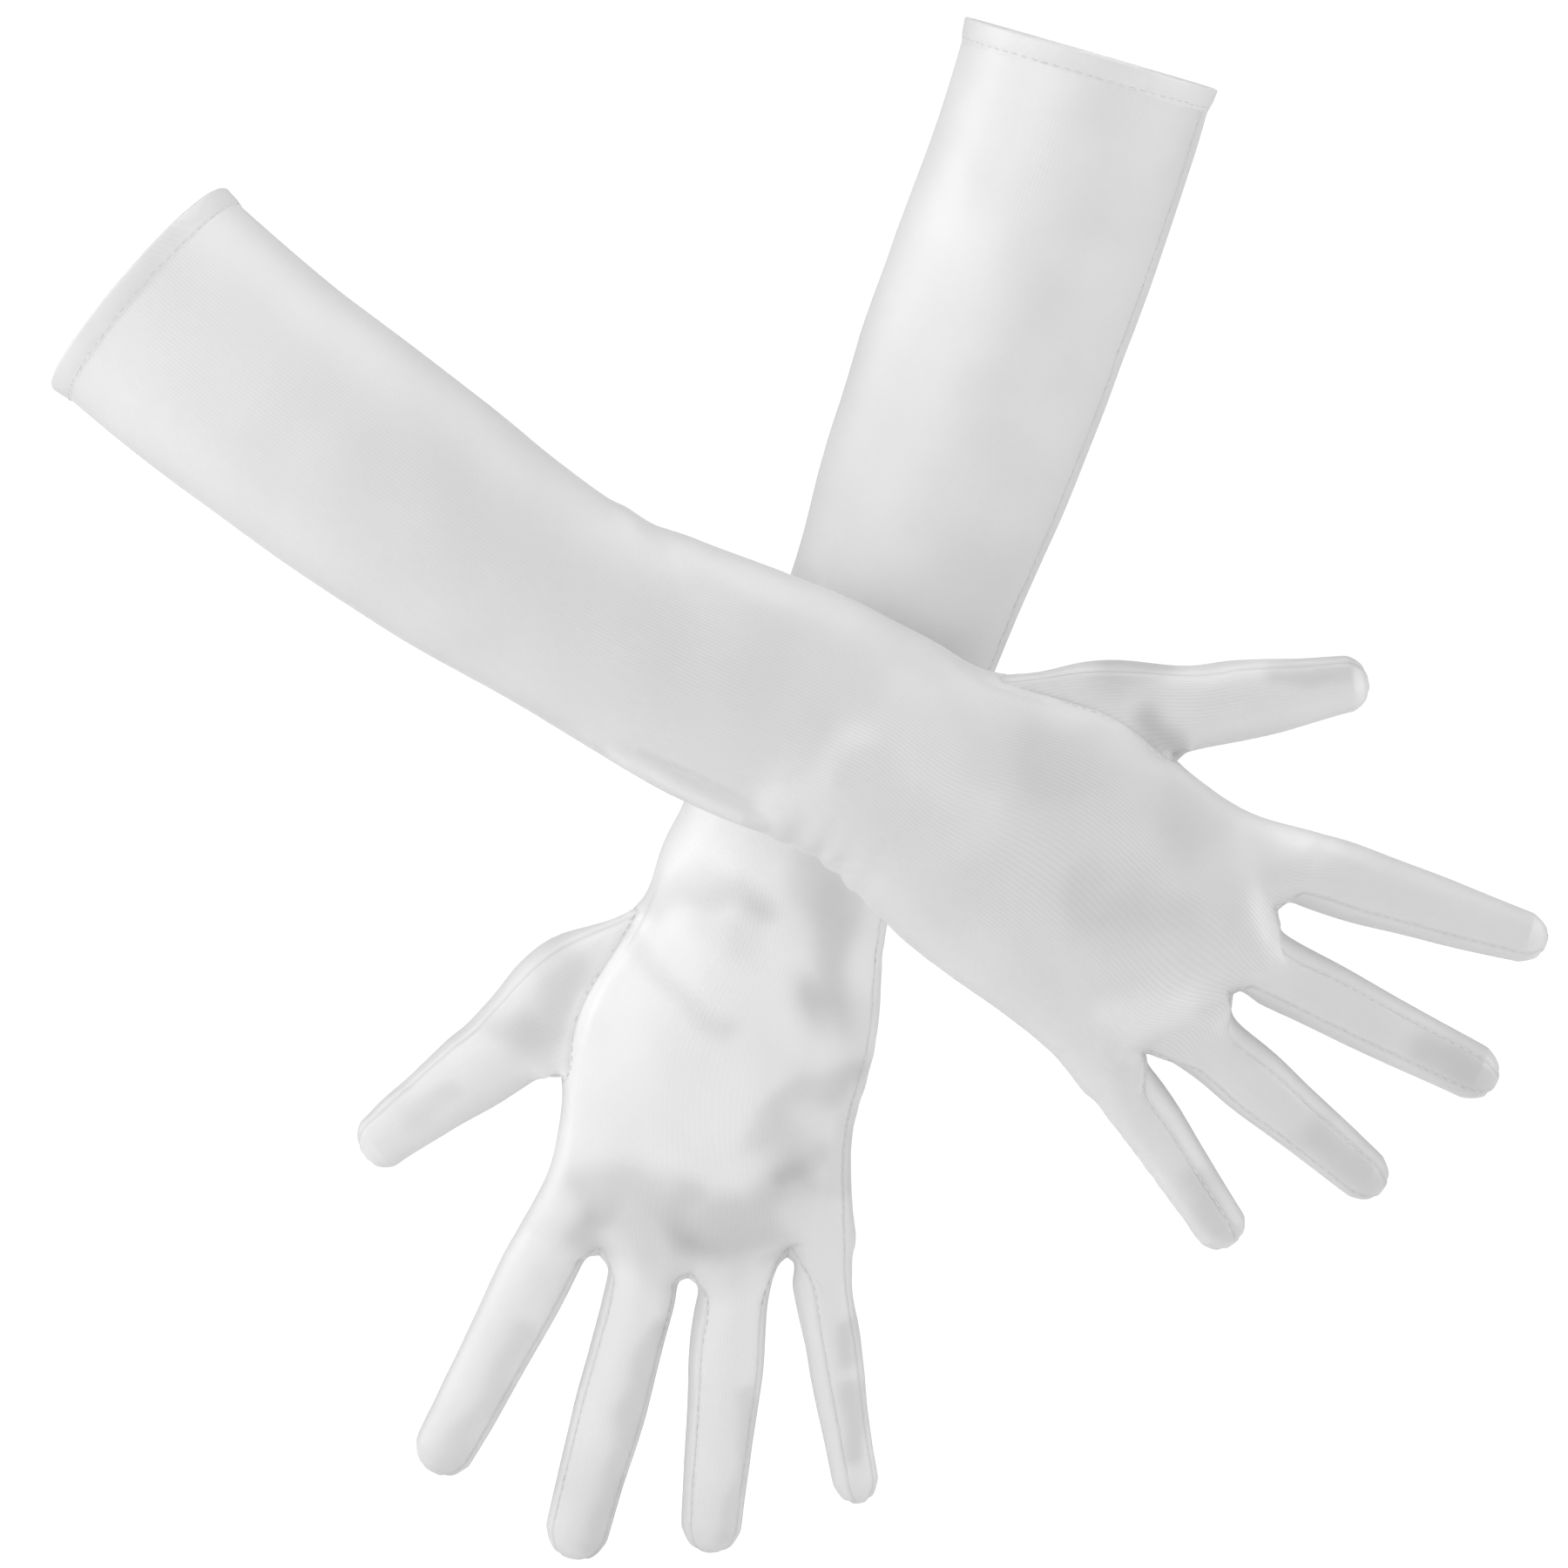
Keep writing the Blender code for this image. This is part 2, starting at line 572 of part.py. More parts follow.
def stand_on_floor(roots):
    """Moves the pair so that the middle of its box is over the origin and it rests at z = 0."""
    bpy.context.view_layer.update()
    graph = bpy.context.evaluated_depsgraph_get()
    corners = []
    for obj in GLOVE_PARTS.objects:
        if obj.type == "EMPTY":
            continue
        evaluated = obj.evaluated_get(graph)
        mesh = evaluated.to_mesh()
        corners += [evaluated.matrix_world @ vert.co for vert in mesh.vertices]
        evaluated.to_mesh_clear()
    low, high = np.min(corners, axis=0), np.max(corners, axis=0)
    shift = Vector((-(low[0] + high[0]) / 2, -(low[1] + high[1]) / 2, -low[2]))
    for root in roots:
        root.location += shift


clear_scene()
GLOVE_PARTS = new_collection("opera_gloves")
stand_on_floor([build_glove(glove) for glove in GLOVES])
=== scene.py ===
import json
import math
from collections import namedtuple

import bmesh
import bpy
import numpy as np
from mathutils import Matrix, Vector
from mathutils.bvhtree import BVHTree
from mathutils.kdtree import KDTree


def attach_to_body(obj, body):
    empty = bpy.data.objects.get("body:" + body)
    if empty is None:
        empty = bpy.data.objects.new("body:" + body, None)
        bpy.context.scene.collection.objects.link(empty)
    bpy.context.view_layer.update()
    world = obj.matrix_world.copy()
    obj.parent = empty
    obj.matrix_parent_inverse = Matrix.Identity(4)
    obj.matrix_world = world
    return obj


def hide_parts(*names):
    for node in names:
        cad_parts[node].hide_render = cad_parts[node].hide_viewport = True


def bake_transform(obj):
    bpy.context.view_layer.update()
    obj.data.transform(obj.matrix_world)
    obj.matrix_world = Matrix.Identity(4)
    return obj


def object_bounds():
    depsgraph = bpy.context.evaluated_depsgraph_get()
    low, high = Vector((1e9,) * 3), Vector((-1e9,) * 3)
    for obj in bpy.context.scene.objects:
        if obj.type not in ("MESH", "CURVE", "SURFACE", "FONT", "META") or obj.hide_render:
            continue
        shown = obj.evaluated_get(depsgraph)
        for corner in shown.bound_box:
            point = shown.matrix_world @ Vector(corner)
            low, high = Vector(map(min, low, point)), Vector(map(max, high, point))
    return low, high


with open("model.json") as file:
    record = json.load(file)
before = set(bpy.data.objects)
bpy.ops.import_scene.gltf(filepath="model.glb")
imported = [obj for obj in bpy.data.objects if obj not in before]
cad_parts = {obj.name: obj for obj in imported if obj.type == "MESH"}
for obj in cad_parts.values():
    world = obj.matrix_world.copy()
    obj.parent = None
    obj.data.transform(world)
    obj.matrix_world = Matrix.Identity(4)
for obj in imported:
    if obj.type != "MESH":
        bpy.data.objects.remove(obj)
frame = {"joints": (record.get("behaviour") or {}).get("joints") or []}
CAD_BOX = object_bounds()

# A pair of white stretch-satin opera gloves, crossed at the wrists, held upright.
#
# Each glove's skin is one closed cage of quads in the glove's own frame, in millimetres:
# U towards the thumb, V out of the back of the hand, W towards the fingertips, from the
# middle of the wrist. The cage is fitted so that its subdivided surface passes through
# every point, then folds, seams and puckers are pressed into the fine surface, and last
# it is cut along its seams and joints into cloth pieces with a real thickness.

MM = 0.001
JOINTS = {joint["name"]: joint for joint in frame["joints"]}

CLOTH = 0.45  # thickness of one layer of satin
LEVELS = 3
HEM_WIDTH = 5.5
WRIST_HALF_DEPTH = 21.0
SLEEVE_SPLIT_RING = 4  # the hand's piece reaches up the sleeve to this ring
WRIST_BLEND = (-34.0, 18.0)  # W where the bend of the wrist starts and ends

# Corners are the angles, from the thumb-side and little-side edges, where the seams run
HandRing = namedtuple("HandRing", "along ulnar radial half_depth thumb_corner palm_corner little_corner")
HAND_RINGS = [
    HandRing(0, -31.5, 30.0, 21.0, 18, 18, 21),
    HandRing(15, -33.8, 33.0, 19.5, 24, 30, 21),
    HandRing(30, -36.8, 36.0, 18.0, 20, 42, 21),
    HandRing(45, -38.8, 38.4, 16.7, 19, 48, 21),
    HandRing(60, -40.4, 36.6, 15.6, 20, 46, 21),
    HandRing(76, -42.8, 33.5, 14.2, 24, 38, 22),
    HandRing(89, -46.4, 34.9, 12.7, 30, 36, 26),
]
HAND_SHIFT_END = 60.0
PALM_SQUARENESS = 2.45
SLEEVE_SQUARENESS = 2.1
KNUCKLES = np.array([(37.6, 99.0), (16.5, 102.3), (-7.0, 103.5), (-30.2, 92.3), (-47.0, 88.0)])
KNUCKLE_HALF_DEPTHS = (10.6, 11.3, 10.9, 9.2)
KNUCKLE_LEVEL = 97.5  # their middle W
KNUCKLE_CLOTH = 99.0  # the cloth's lengthwise coordinate there
CROTCH_HALF_DEPTH = 8.6
CROTCH_SEAM_BACK = {"right": (1.0, 1.2, 1.4), "left": (2.2, 1.4, 3.2)}  # of each crotch, in W
CROTCH_OPENING = {"right": (2.8, 2.2, 1.5), "left": (2.8, 2.3, 2.5)}  # half width near its edge
CROTCH_SEAM_WIDER = 1.1  # and this much more at its two seams
FINGER_SQUARENESS = 2.35

# Middle line's base and tip in (U, W), how far along the knuckle and the bend are, and half
# width at four stations. Seams are where the back's two seams lie, from the thumb side.
Finger = namedtuple("Finger", "name base tip knuckle_at bend_at half_width seams")
FINGER_STATIONS = np.array([0.0, 0.28, 0.55, 0.86])
FINGERS = {
    "right": [
        Finger("index", (28.2, 100.1), (43.7, 163.9), 5, 30, (9.9, 9.4, 8.2, 6.6), (45, 126)),
        Finger("middle", (2.9, 102.5), (7.8, 170.8), 6, 31, (9.8, 8.7, 8.0, 7.0), (60, 128)),
        Finger("ring", (-19.3, 99.0), (-29.2, 160.3), 8, 30, (9.6, 8.9, 7.8, 6.6), (62, 140)),
        Finger("little", (-39.2, 90.9), (-59.9, 135.6), 5, 24, (8.1, 7.5, 7.2, 6.5), (74, 140)),
        Finger("thumb", (42.2, 50.8), (77.2, 93.1), 10, 32, (11.2, 10.4, 9.3, 7.4), (45, 135)),
    ],
    "left": [
        Finger("index", (28.4, 100.1), (45.9, 166.4), 5, 31, (9.8, 9.4, 8.7, 7.9), (45, 146)),
        Finger("middle", (3.8, 102.5), (6.6, 179.8), 6, 36, (9.8, 9.2, 9.4, 8.4), (43, 150)),
        Finger("ring", (-18.1, 99.2), (-27.6, 170.7), 8, 34, (9.9, 9.6, 8.9, 7.9), (50, 145)),
        Finger("little", (-38.2, 91.4), (-62.2, 149.5), 5, 29, (8.2, 7.2, 6.7, 5.9), (74, 140)),
        Finger("thumb", (45.2, 48.0), (81.5, 91.7), 10, 32, (11.8, 11.1, 9.4, 7.6), (45, 135)),
    ],
}
FINGER_NUMBERS = (0, 1, 2, 3, "thumb")
LITTLE = 3
FINGER_DEPTH_SHARES = (1.07, 1.0, 0.95, 0.95)  # of its half width, at the same stations
THUMB_SINK = (-4.0, -8.0)  # how far the thumb's middle line lies on the palm side, base and tip
THUMB_MOUND = {"right": 2.0, "left": 5.5}  # how far the thumb's root swells past a straight cone
TIP_ROUND_SHARE = 0.125
TIP_ROUND_STEPS = (0.4, 0.72, 0.92)

# Sleeve middle line and half width by distance up the arm, one set for each glove
SleeveShape = namedtuple("SleeveShape", "up middle half_width lean")
SLEEVES = {
    "right": SleeveShape(
        (0, 15, 40, 60, 85, 110, 130, 155, 180, 200, 218),
        (-0.7, -1.6, -5.0, -7.2, -8.8, -8.4, -6.9, -4.8, -2.4, 0.4, 3.5),
        (30.8, 30.8, 31.0, 29.4, 27.6, 28.9, 30.2, 31.1, 31.3, 31.7, 32.0),
        -1.0,
    ),
    "left": SleeveShape(
        (0, 14, 40, 77, 104, 125, 153, 180, 206, 221),
        (-5.7, -9.0, -15.2, -21.5, -24.5, -27.2, -30.4, -33.8, -36.5, -37.4),
        (30.9, 30.1, 29.3, 28.8, 30.8, 31.8, 32.5, 32.2, 32.1, 32.1),
        8.0,
    ),
}
DEPTH_UP = (0, 40, 85, 130, 180, 221)
DEPTH_HALF = (21.0, 22.0, 24.5, 28.0, 31.0, 32.0)
WRIST_EASE = 30.0
SLEEVE_RINGS = 20

KNUCKLE_REACH = 4.5  # the first ring of a finger is this much further on away from a crotch
CROTCH_PINCH = 0.5  # a finger's first ring is this much slimmer beside a crotch
CROTCH_EASE = (6.5, 70)  # how far from a crotch the cloth is relaxed, and how many times
COLUMNS = 30
SIDE_SEAM_COLUMN = {"right": 14, "left": 12}  # the right one is turned under
PALM_CORNER = 27
KNUCKLE_RING = len(HAND_RINGS)
THUMB_HOLE = (1, 4)
SIDES = 12
BACK, ULNAR, PALM, THUMBWARD = (0, 1, 2), (3, 4, 5), (6, 7, 8), (9, 10, 11)
COLUMN_WIDTH = 6.4  # of cloth, for the weave
PANEL_APART = 1000.0  # cloth coordinates of separate panels are this far apart


def curve_through(xs, ys):
    """A smooth function through the points, by cubic Hermite pieces."""
    xs, ys = np.array(xs, float), np.array(ys, float)
    slopes = np.gradient(ys, xs)

    def at(x):
        i = np.clip(np.searchsorted(xs, x) - 1, 0, len(xs) - 2)
        width = xs[i + 1] - xs[i]
        t = (x - xs[i]) / width
        start = (1 + 2 * t) * (1 - t) ** 2 * ys[i] + t * (1 - t) ** 2 * width * slopes[i]
        return start + t * t * (3 - 2 * t) * ys[i + 1] + t * t * (t - 1) * width * slopes[i + 1]

    return at


def on_section(angle, squareness):
    across, out = math.cos(angle), math.sin(angle)
    power = 2 / squareness
    return math.copysign(abs(across) ** power, across), math.copysign(abs(out) ** power, out)


def column_angles(ring):
    """Angles of the columns round a section: back, little side, palm and thumb side."""
    back = np.linspace(ring.thumb_corner, 180 - ring.little_corner, 13)
    little_side = np.linspace(180 - ring.little_corner, 180 + ring.little_corner, 4)[1:-1]
    palm = np.linspace(180 + ring.little_corner, 360 - ring.palm_corner, 13)
    thumb_side = np.linspace(360 - ring.palm_corner, 360 + ring.thumb_corner, 4)[1:-1]
    return np.radians(np.concatenate([back, little_side, palm, thumb_side]))


def finger_angles(seams):
    first, second = seams
    back = np.linspace(first, second, 4)
    ulnar = np.linspace(second, 360 - second, 4)[1:-1]
    palm = np.linspace(360 - second, 360 - first, 4)
    radial = np.linspace(360 - first, 360 + first, 4)[1:-1]
    return np.radians(np.concatenate([back, ulnar, palm, radial]))


class Place:
    """Where one glove stands, read from its wrist joint in the frame."""

    def __init__(self, side):
        joint = JOINTS[f"{side}_wrist"]
        hand = 1 if side == "right" else -1
        thumbward = -np.array(joint["axis"])
        out = np.array([0.0, -1.0, 0.0])
        along = np.cross(thumbward, out) * hand
        self.side, self.mirrored = side, hand < 0
        self.axes = np.array([thumbward, out, along])
        hinge_out = WRIST_HALF_DEPTH * (1 if side == "right" else -1)
        middle = SLEEVES[side].middle[0]
        self.origin = np.array(joint["pos_m"]) - (middle * thumbward + hinge_out * out) * MM

    def world(self, local):
        return self.origin + np.asarray(local) @ self.axes * MM

    def local(self, world):
        return (np.asarray(world) - self.origin) @ self.axes.T / MM


class Cage:
    """Named points and quads of one glove's outer surface, in its own frame, in millimetres."""

    def __init__(self, side):
        self.side, self.seam_column = side, SIDE_SEAM_COLUMN[side]
        self.points, self.faces = {}, []
        self.fingers = dict(zip(FINGER_NUMBERS, FINGERS[side]))
        sleeve = SLEEVES[side]
        self.middle = curve_through(sleeve.up, sleeve.middle)
        self.half_width = curve_through(sleeve.up, sleeve.half_width)
        self.half_depth = curve_through(DEPTH_UP, DEPTH_HALF)
        self.lean = math.tan(math.radians(sleeve.lean))
        self.length = sleeve.up[-1]
        self.ups = np.linspace(0, self.length - HEM_WIDTH, SLEEVE_RINGS)
        self.add_sleeve()
        self.add_hand()
        self.add_knuckles()
        for number, finger in self.fingers.items():
            self.add_finger(number, finger)
        self.add_faces()

    def sleeve_middle(self, up):
        eased = up * up / (2 * WRIST_EASE) if up < WRIST_EASE else up - WRIST_EASE / 2
        return np.array([self.middle(up), self.lean * eased, -up])

    def sleeve_axes(self, up):
        slope = self.sleeve_middle(min(up + 1, self.length)) - self.sleeve_middle(min(up, self.length - 1))
        straight = np.array([0, 0, -1])
        normal = straight + (slope - straight) * min(up / WRIST_EASE, 1)
        normal /= np.linalg.norm(normal)
        across = np.array([1, 0, 0]) - normal[0] * normal
        across /= np.linalg.norm(across)
        return self.sleeve_middle(up), across, np.cross(across, normal), normal

    def sleeve_point(self, up, angle):
        middle, across, outward, _ = self.sleeve_axes(up)
        x, y = on_section(angle, SLEEVE_SQUARENESS)
        return middle + across * x * self.half_width(up) + outward * y * self.half_depth(up)

    def add_sleeve(self):
        angles = column_angles(HAND_RINGS[0])
        for ring, up in enumerate(self.ups[1:], start=1):
            for column in range(COLUMNS):
                self.points["sleeve", ring, column] = self.sleeve_point(up, angles[column])

    def add_hand(self):
        for number, ring in enumerate(HAND_RINGS):
            shift = self.middle(0) * max(0, 1 - ring.along / HAND_SHIFT_END)
            if number == 0:
                shift -= (ring.ulnar + ring.radial) / 2
            middle = (ring.ulnar + ring.radial) / 2 + shift
            half_width = (ring.radial - ring.ulnar) / 2
            angles = column_angles(ring)
            squareness = np.interp(number, [0, 3, 6], [SLEEVE_SQUARENESS, PALM_SQUARENESS, 2.8])
            morph = np.interp(ring.along, [60, 95], [0, 0.8]) ** 1.5
            for column in range(COLUMNS):
                x, y = on_section(angles[column], squareness)
                u = middle + x * half_width
                level = np.interp(-u, -KNUCKLES[:, 0], KNUCKLES[:, 1]) - KNUCKLE_LEVEL
                self.points["hand", number, column] = np.array(
                    [u, y * ring.half_depth, ring.along + morph * level]
                )

    def finger_root(self, number):
        if number == "thumb":
            low, high = THUMB_HOLE
            climb = range(low, high + 1)
            back = [("hand", ring, 0) for ring in climb]
            palm = [("hand", ring, PALM_CORNER) for ring in reversed(climb)]
            crotch = [("hand", high, 29), ("hand", high, 28)]
            return back + crotch + palm + [("hand", low, 28), ("hand", low, 29)]
        first = 3 * number
        back = [("hand", KNUCKLE_RING, first + step) for step in range(4)]
        palm = [("hand", KNUCKLE_RING, PALM_CORNER - first - 3 + step) for step in range(4)]
        ulnar = [("crotch", number, 0), ("crotch", number, 1)]
        radial = [("crotch", number - 1, 1), ("crotch", number - 1, 0)]
        if number == LITTLE:
            ulnar = [("hand", KNUCKLE_RING, 13), ("hand", KNUCKLE_RING, 14)]
        if number == 0:
            radial = [("hand", KNUCKLE_RING, 28), ("hand", KNUCKLE_RING, 29)]
        return back + ulnar + palm + radial

    def add_knuckles(self):
        crotch_ends = {("hand", KNUCKLE_RING, c) for c in (3, 6, 9)}
        crotch_ends |= {("hand", KNUCKLE_RING, PALM_CORNER - c) for c in (3, 6, 9)}
        for number in range(LITTLE + 1):
            thumb_edge, little_edge = KNUCKLES[number, 0], KNUCKLES[number + 1, 0]
            middle, half = (thumb_edge + little_edge) / 2, (thumb_edge - little_edge) / 2
            for side, key in enumerate(self.finger_root(number)):
                x, y = on_section(math.radians(45 + 30 * side), FINGER_SQUARENESS)
                crotch = key[0] == "crotch" or key in crotch_ends
                u = (thumb_edge if x > 0 else little_edge) if crotch else middle + x * half
                depth = CROTCH_HALF_DEPTH if crotch else KNUCKLE_HALF_DEPTHS[number]
                w = np.interp(-u, -KNUCKLES[:, 0], KNUCKLES[:, 1])
                if key in crotch_ends:
                    w -= CROTCH_SEAM_BACK[self.side][number if x < 0 else number - 1]
                self.points[key] = np.array([u, y * depth, w])

    def finger_axes(self, finger):
        sink = THUMB_SINK if finger.name == "thumb" else (0, 0)
        base = np.array([finger.base[0], sink[0], finger.base[1]])
        tip = np.array([finger.tip[0], sink[1], finger.tip[1]])
        length = np.linalg.norm(tip - base)
        forward = (tip - base) / length
        across = np.array([forward[2], 0, -forward[0]])
        across /= np.linalg.norm(across)
        return base, forward, across, np.cross(forward, across), length

    def finger_stations(self, finger, length):
        knuckle, bend = finger.knuckle_at, finger.bend_at
        round_from = length * (1 - TIP_ROUND_SHARE)
        rounding = [round_from + share * (length - round_from) for share in TIP_ROUND_STEPS]
        border = (knuckle + bend) / 2
        return [knuckle, border, bend, bend + (round_from - bend) / 2, round_from, *rounding, length]

    def add_finger(self, number, finger):
        base, forward, across, outward, length = self.finger_axes(finger)
        axes = np.array([across, outward, forward])
        angles = finger_angles(finger.seams)
        stations = self.finger_stations(finger, length)
        for ring, at in enumerate(stations, start=2):
            for side in range(SIDES):
                x, y = on_section(angles[side], FINGER_SQUARENESS)
                beside_crotch = self.beside_crotch(number, side)
                here = at
                if ring == 2 and not beside_crotch and number != "thumb":
                    here += KNUCKLE_REACH
                past = max(0, here / length - 1 + TIP_ROUND_SHARE) / TIP_ROUND_SHARE
                rounding = (1 - past**2.3) ** (1 / 2.05) if past < 1 else 0.0
                half_width = np.interp(here / length, FINGER_STATIONS, finger.half_width) * rounding
                half_depth = half_width * np.interp(here / length, FINGER_STATIONS, FINGER_DEPTH_SHARES)
                if ring == 2 and beside_crotch:
                    half_width -= CROTCH_PINCH
                offset = np.array([x * half_width, y * half_depth, here])
                self.points[number, ring, side] = base + offset @ axes
        self.add_web_ring(number, axes)
        self.cap(number, len(stations) + 1, base + forward * length, axes)

    def beside_crotch(self, number, side):
        """Whether a side's points lie beside a crotch or on one of its seams."""
        if number == "thumb":
            return False
        return (side in (3, 4, 5, 6) and number < LITTLE) or (side in (9, 10, 11, 0) and number > 0)

    def add_web_ring(self, number, axes):
        """The ring just past the crotch, where a crotch opens quickly so that it is a U."""
        for side, key in enumerate(self.finger_root(number)):
            root, ring = self.points[key], self.points[number, 2, side]
            point = (root + ring) / 2
            if self.beside_crotch(number, side):
                ulnar = 3 <= side <= 6
                crotch = self.points["crotch", number if ulnar else number - 1, 0]
                neighbour = self.finger_axes(self.fingers[number + (1 if ulnar else -1)])
                between = (axes[2] + neighbour[1]) / np.linalg.norm(axes[2] + neighbour[1])
                toward = np.array([between[2], 0, -between[0]]) * (1 if ulnar else -1)
                opening = CROTCH_OPENING[self.side][number if ulnar else number - 1]
                if key[0] == "crotch":
                    point = crotch + toward * opening + between * opening * 0.6
                else:
                    on = ((root + ring) / 2 - crotch) @ axes[2]
                    point = crotch + toward * (opening + CROTCH_SEAM_WIDER) + axes[2] * on
                point[1] = root[1] * 0.6 + ring[1] * 0.4
            if number == "thumb":
                below = math.cos(math.radians(30 * (side - 10.5))) * 0.5 + 0.5
                point += np.array([0.8, 0, -0.6]) * THUMB_MOUND[self.side] * below**2
            self.points[number, 1, side] = point

    def cap(self, number, ring, apex, axes):
        """The last ring shrinks to a two-by-two patch of points at the fingertip."""
        for row in range(2):
            for step in range(2):
                offset = np.array([(0.5 - step) * 2.0, (0.5 - row) * 2.0, 0])
                self.points[number, "cap", row, step] = apex + offset @ axes
        for side in range(SIDES):
            del self.points[number, ring, side]

    def last_ring(self, number):
        return max(key[1] for key in self.points if key[0] == number and isinstance(key[1], int))

    def key(self, number, ring, side):
        side %= SIDES
        return self.finger_root(number)[side] if ring == 0 else (number, ring, side)

    def add_face(self, grid, row, step, piece, left, top, bottom):
        """One quad of a grid of keys, with its cloth coordinates."""
        keys = [grid[row][step], grid[row][step + 1], grid[row + 1][step + 1], grid[row + 1][step]]
        right = left + COLUMN_WIDTH
        self.faces.append((keys, piece, [(left, top), (right, top), (right, bottom), (left, bottom)]))

    def add_faces(self):
        self.add_tube_faces()
        for number, finger in self.fingers.items():
            self.add_finger_faces(number, finger)

    def tube_key(self, row, column):
        """Rows run from the hem down the sleeve and on down the hand to the knuckles."""
        column %= COLUMNS
        if row < SLEEVE_RINGS - 1:
            return "sleeve", SLEEVE_RINGS - 1 - row, column
        return "hand", row - SLEEVE_RINGS + 1, column

    def tube_along(self, row):
        if row < SLEEVE_RINGS:
            return -self.ups[SLEEVE_RINGS - 1 - row]
        ring = row - SLEEVE_RINGS + 1
        return HAND_RINGS[ring].along if ring < KNUCKLE_RING else KNUCKLE_CLOTH

    def add_tube_faces(self):
        low, high = THUMB_HOLE
        rows = SLEEVE_RINGS - 1 + KNUCKLE_RING
        grid = [[self.tube_key(row, column) for column in range(2 * COLUMNS)] for row in range(rows + 1)]
        for row in range(rows):
            ring = row - SLEEVE_RINGS + 1
            piece = "sleeve" if row < SLEEVE_RINGS - 1 - SLEEVE_SPLIT_RING else "hand"
            top, bottom = self.tube_along(row), self.tube_along(row + 1)
            for column in range(self.seam_column, self.seam_column + COLUMNS):
                if low <= ring < high and column % COLUMNS >= PALM_CORNER:
                    continue
                self.add_face(grid, row, column, piece, column * COLUMN_WIDTH, top, bottom)

    def add_finger_faces(self, number, finger):
        last = self.last_ring(number)
        along = [self.points[self.key(number, ring, 1)][2] for ring in range(last + 1)]
        grid = [[self.key(number, ring, side) for side in range(SIDES + 1)] for ring in range(last + 1)]
        for side in range(SIDES):
            left = self.cloth_across(number, side)
            for ring in range(last):
                piece = self.piece_name(number, finger, ring, side)
                self.add_face(grid, ring, side, piece, left, along[ring], along[ring + 1])
        self.add_cap_faces(number, finger, last)

    def cloth_across(self, number, side):
        """The cloth's across coordinate on a finger: the main panel's own, or a fourchette's."""
        if number == "thumb":
            return 3 * PANEL_APART + side * COLUMN_WIDTH
        if side in PALM:
            return (PALM_CORNER - 3 * number - 3 + side - 6) * COLUMN_WIDTH
        if number == 0 and side in THUMBWARD:
            return (PALM_CORNER - 9 + side) * COLUMN_WIDTH
        if side in BACK or (number == LITTLE and side in ULNAR):
            column = 3 * number + side
            return (column + (COLUMNS if column < self.seam_column else 0)) * COLUMN_WIDTH
        return (1 + number * 0.2) * PANEL_APART + (side - 3) % SIDES * COLUMN_WIDTH

    def piece_name(self, number, finger, ring, side):
        if number == "thumb":
            return "thumb_base" if ring < 3 else "thumb_tip"
        if ring == 0:
            if side in ULNAR and number < LITTLE:
                return f"gusset_{finger.name}_{self.fingers[number + 1].name}"
            if side in THUMBWARD and number > 0:
                return f"gusset_{self.fingers[number - 1].name}_{finger.name}"
            return "hand"
        part = f"{finger.name}_base" if ring < 3 else f"{finger.name}_tip"
        if side in ULNAR and number < LITTLE:
            return part + "_ulnar_fourchette"
        if side in THUMBWARD and number > 0:
            return part + "_radial_fourchette"
        if number in (1, 2) and ring < 3:
            return part + ("_back" if side in BACK else "_palm")
        return part + "_panel"

    def add_cap_faces(self, number, finger, last):
        """A three-by-three grid of faces closes the end."""
        ring = [self.key(number, last, side) for side in range(SIDES)]
        middle = [[(number, "cap", row, step) for step in range(2)] for row in range(2)]
        grid = [
            [ring[0], ring[1], ring[2], ring[3]],
            [ring[11], *middle[0], ring[4]],
            [ring[10], *middle[1], ring[5]],
            [ring[9], ring[8], ring[7], ring[6]],
        ]
        piece = "thumb_tip" if number == "thumb" else f"{finger.name}_tip_panel"
        top = self.points[ring[1]][2]
        for row in range(3):
            for step in range(3):
                left = self.cloth_across(number, 0) + step * COLUMN_WIDTH
                self.add_face(grid, row, step, piece, left, top + 3 * row, top + 3 * row + 3)


def subdivided(cage):
    """The fine surface in local millimetres, fitted so that the cage's points lie on it."""
    keys = list(dict.fromkeys(key for quad, _, _ in cage.faces for key in quad))
    number_of = {key: i for i, key in enumerate(keys)}
    target = np.array([cage.points[key] for key in keys])
    pieces = list(dict.fromkeys(piece for _, piece, _ in cage.faces))
    mesh = bpy.data.meshes.new("cage")
    mesh.from_pydata(target.tolist(), [], [[number_of[key] for key in quad] for quad, _, _ in cage.faces])
    cloth = mesh.uv_layers.new(name="Cloth")
    cloth.uv.foreach_set("vector", np.array([c for _, _, corners in cage.faces for c in corners]).ravel())
    tag = mesh.attributes.new("piece", "INT", "FACE")
    tag.data.foreach_set("value", [pieces.index(piece) for _, piece, _ in cage.faces])
    obj = bpy.data.objects.new("cage", mesh)
    bpy.context.scene.collection.objects.link(obj)
    smoothing = obj.modifiers.new("Subdivision", "SUBSURF")
    smoothing.subdivision_type = "CATMULL_CLARK"
    smoothing.uv_smooth = "NONE"
    control = target.copy()
    smoothing.levels = 2
    for _ in range(8):
        fine = evaluated_points(obj)
        control += target - fine[: len(target)]
        mesh.vertices.foreach_set("co", control.ravel())
        mesh.update()
    smoothing.levels = LEVELS
    result = bpy.data.meshes.new_from_object(obj.evaluated_get(fresh_graph()))
    bpy.data.objects.remove(obj)
    bpy.data.meshes.remove(mesh)
    return result, pieces


def fresh_graph():
    bpy.context.view_layer.update()
    return bpy.context.evaluated_depsgraph_get()


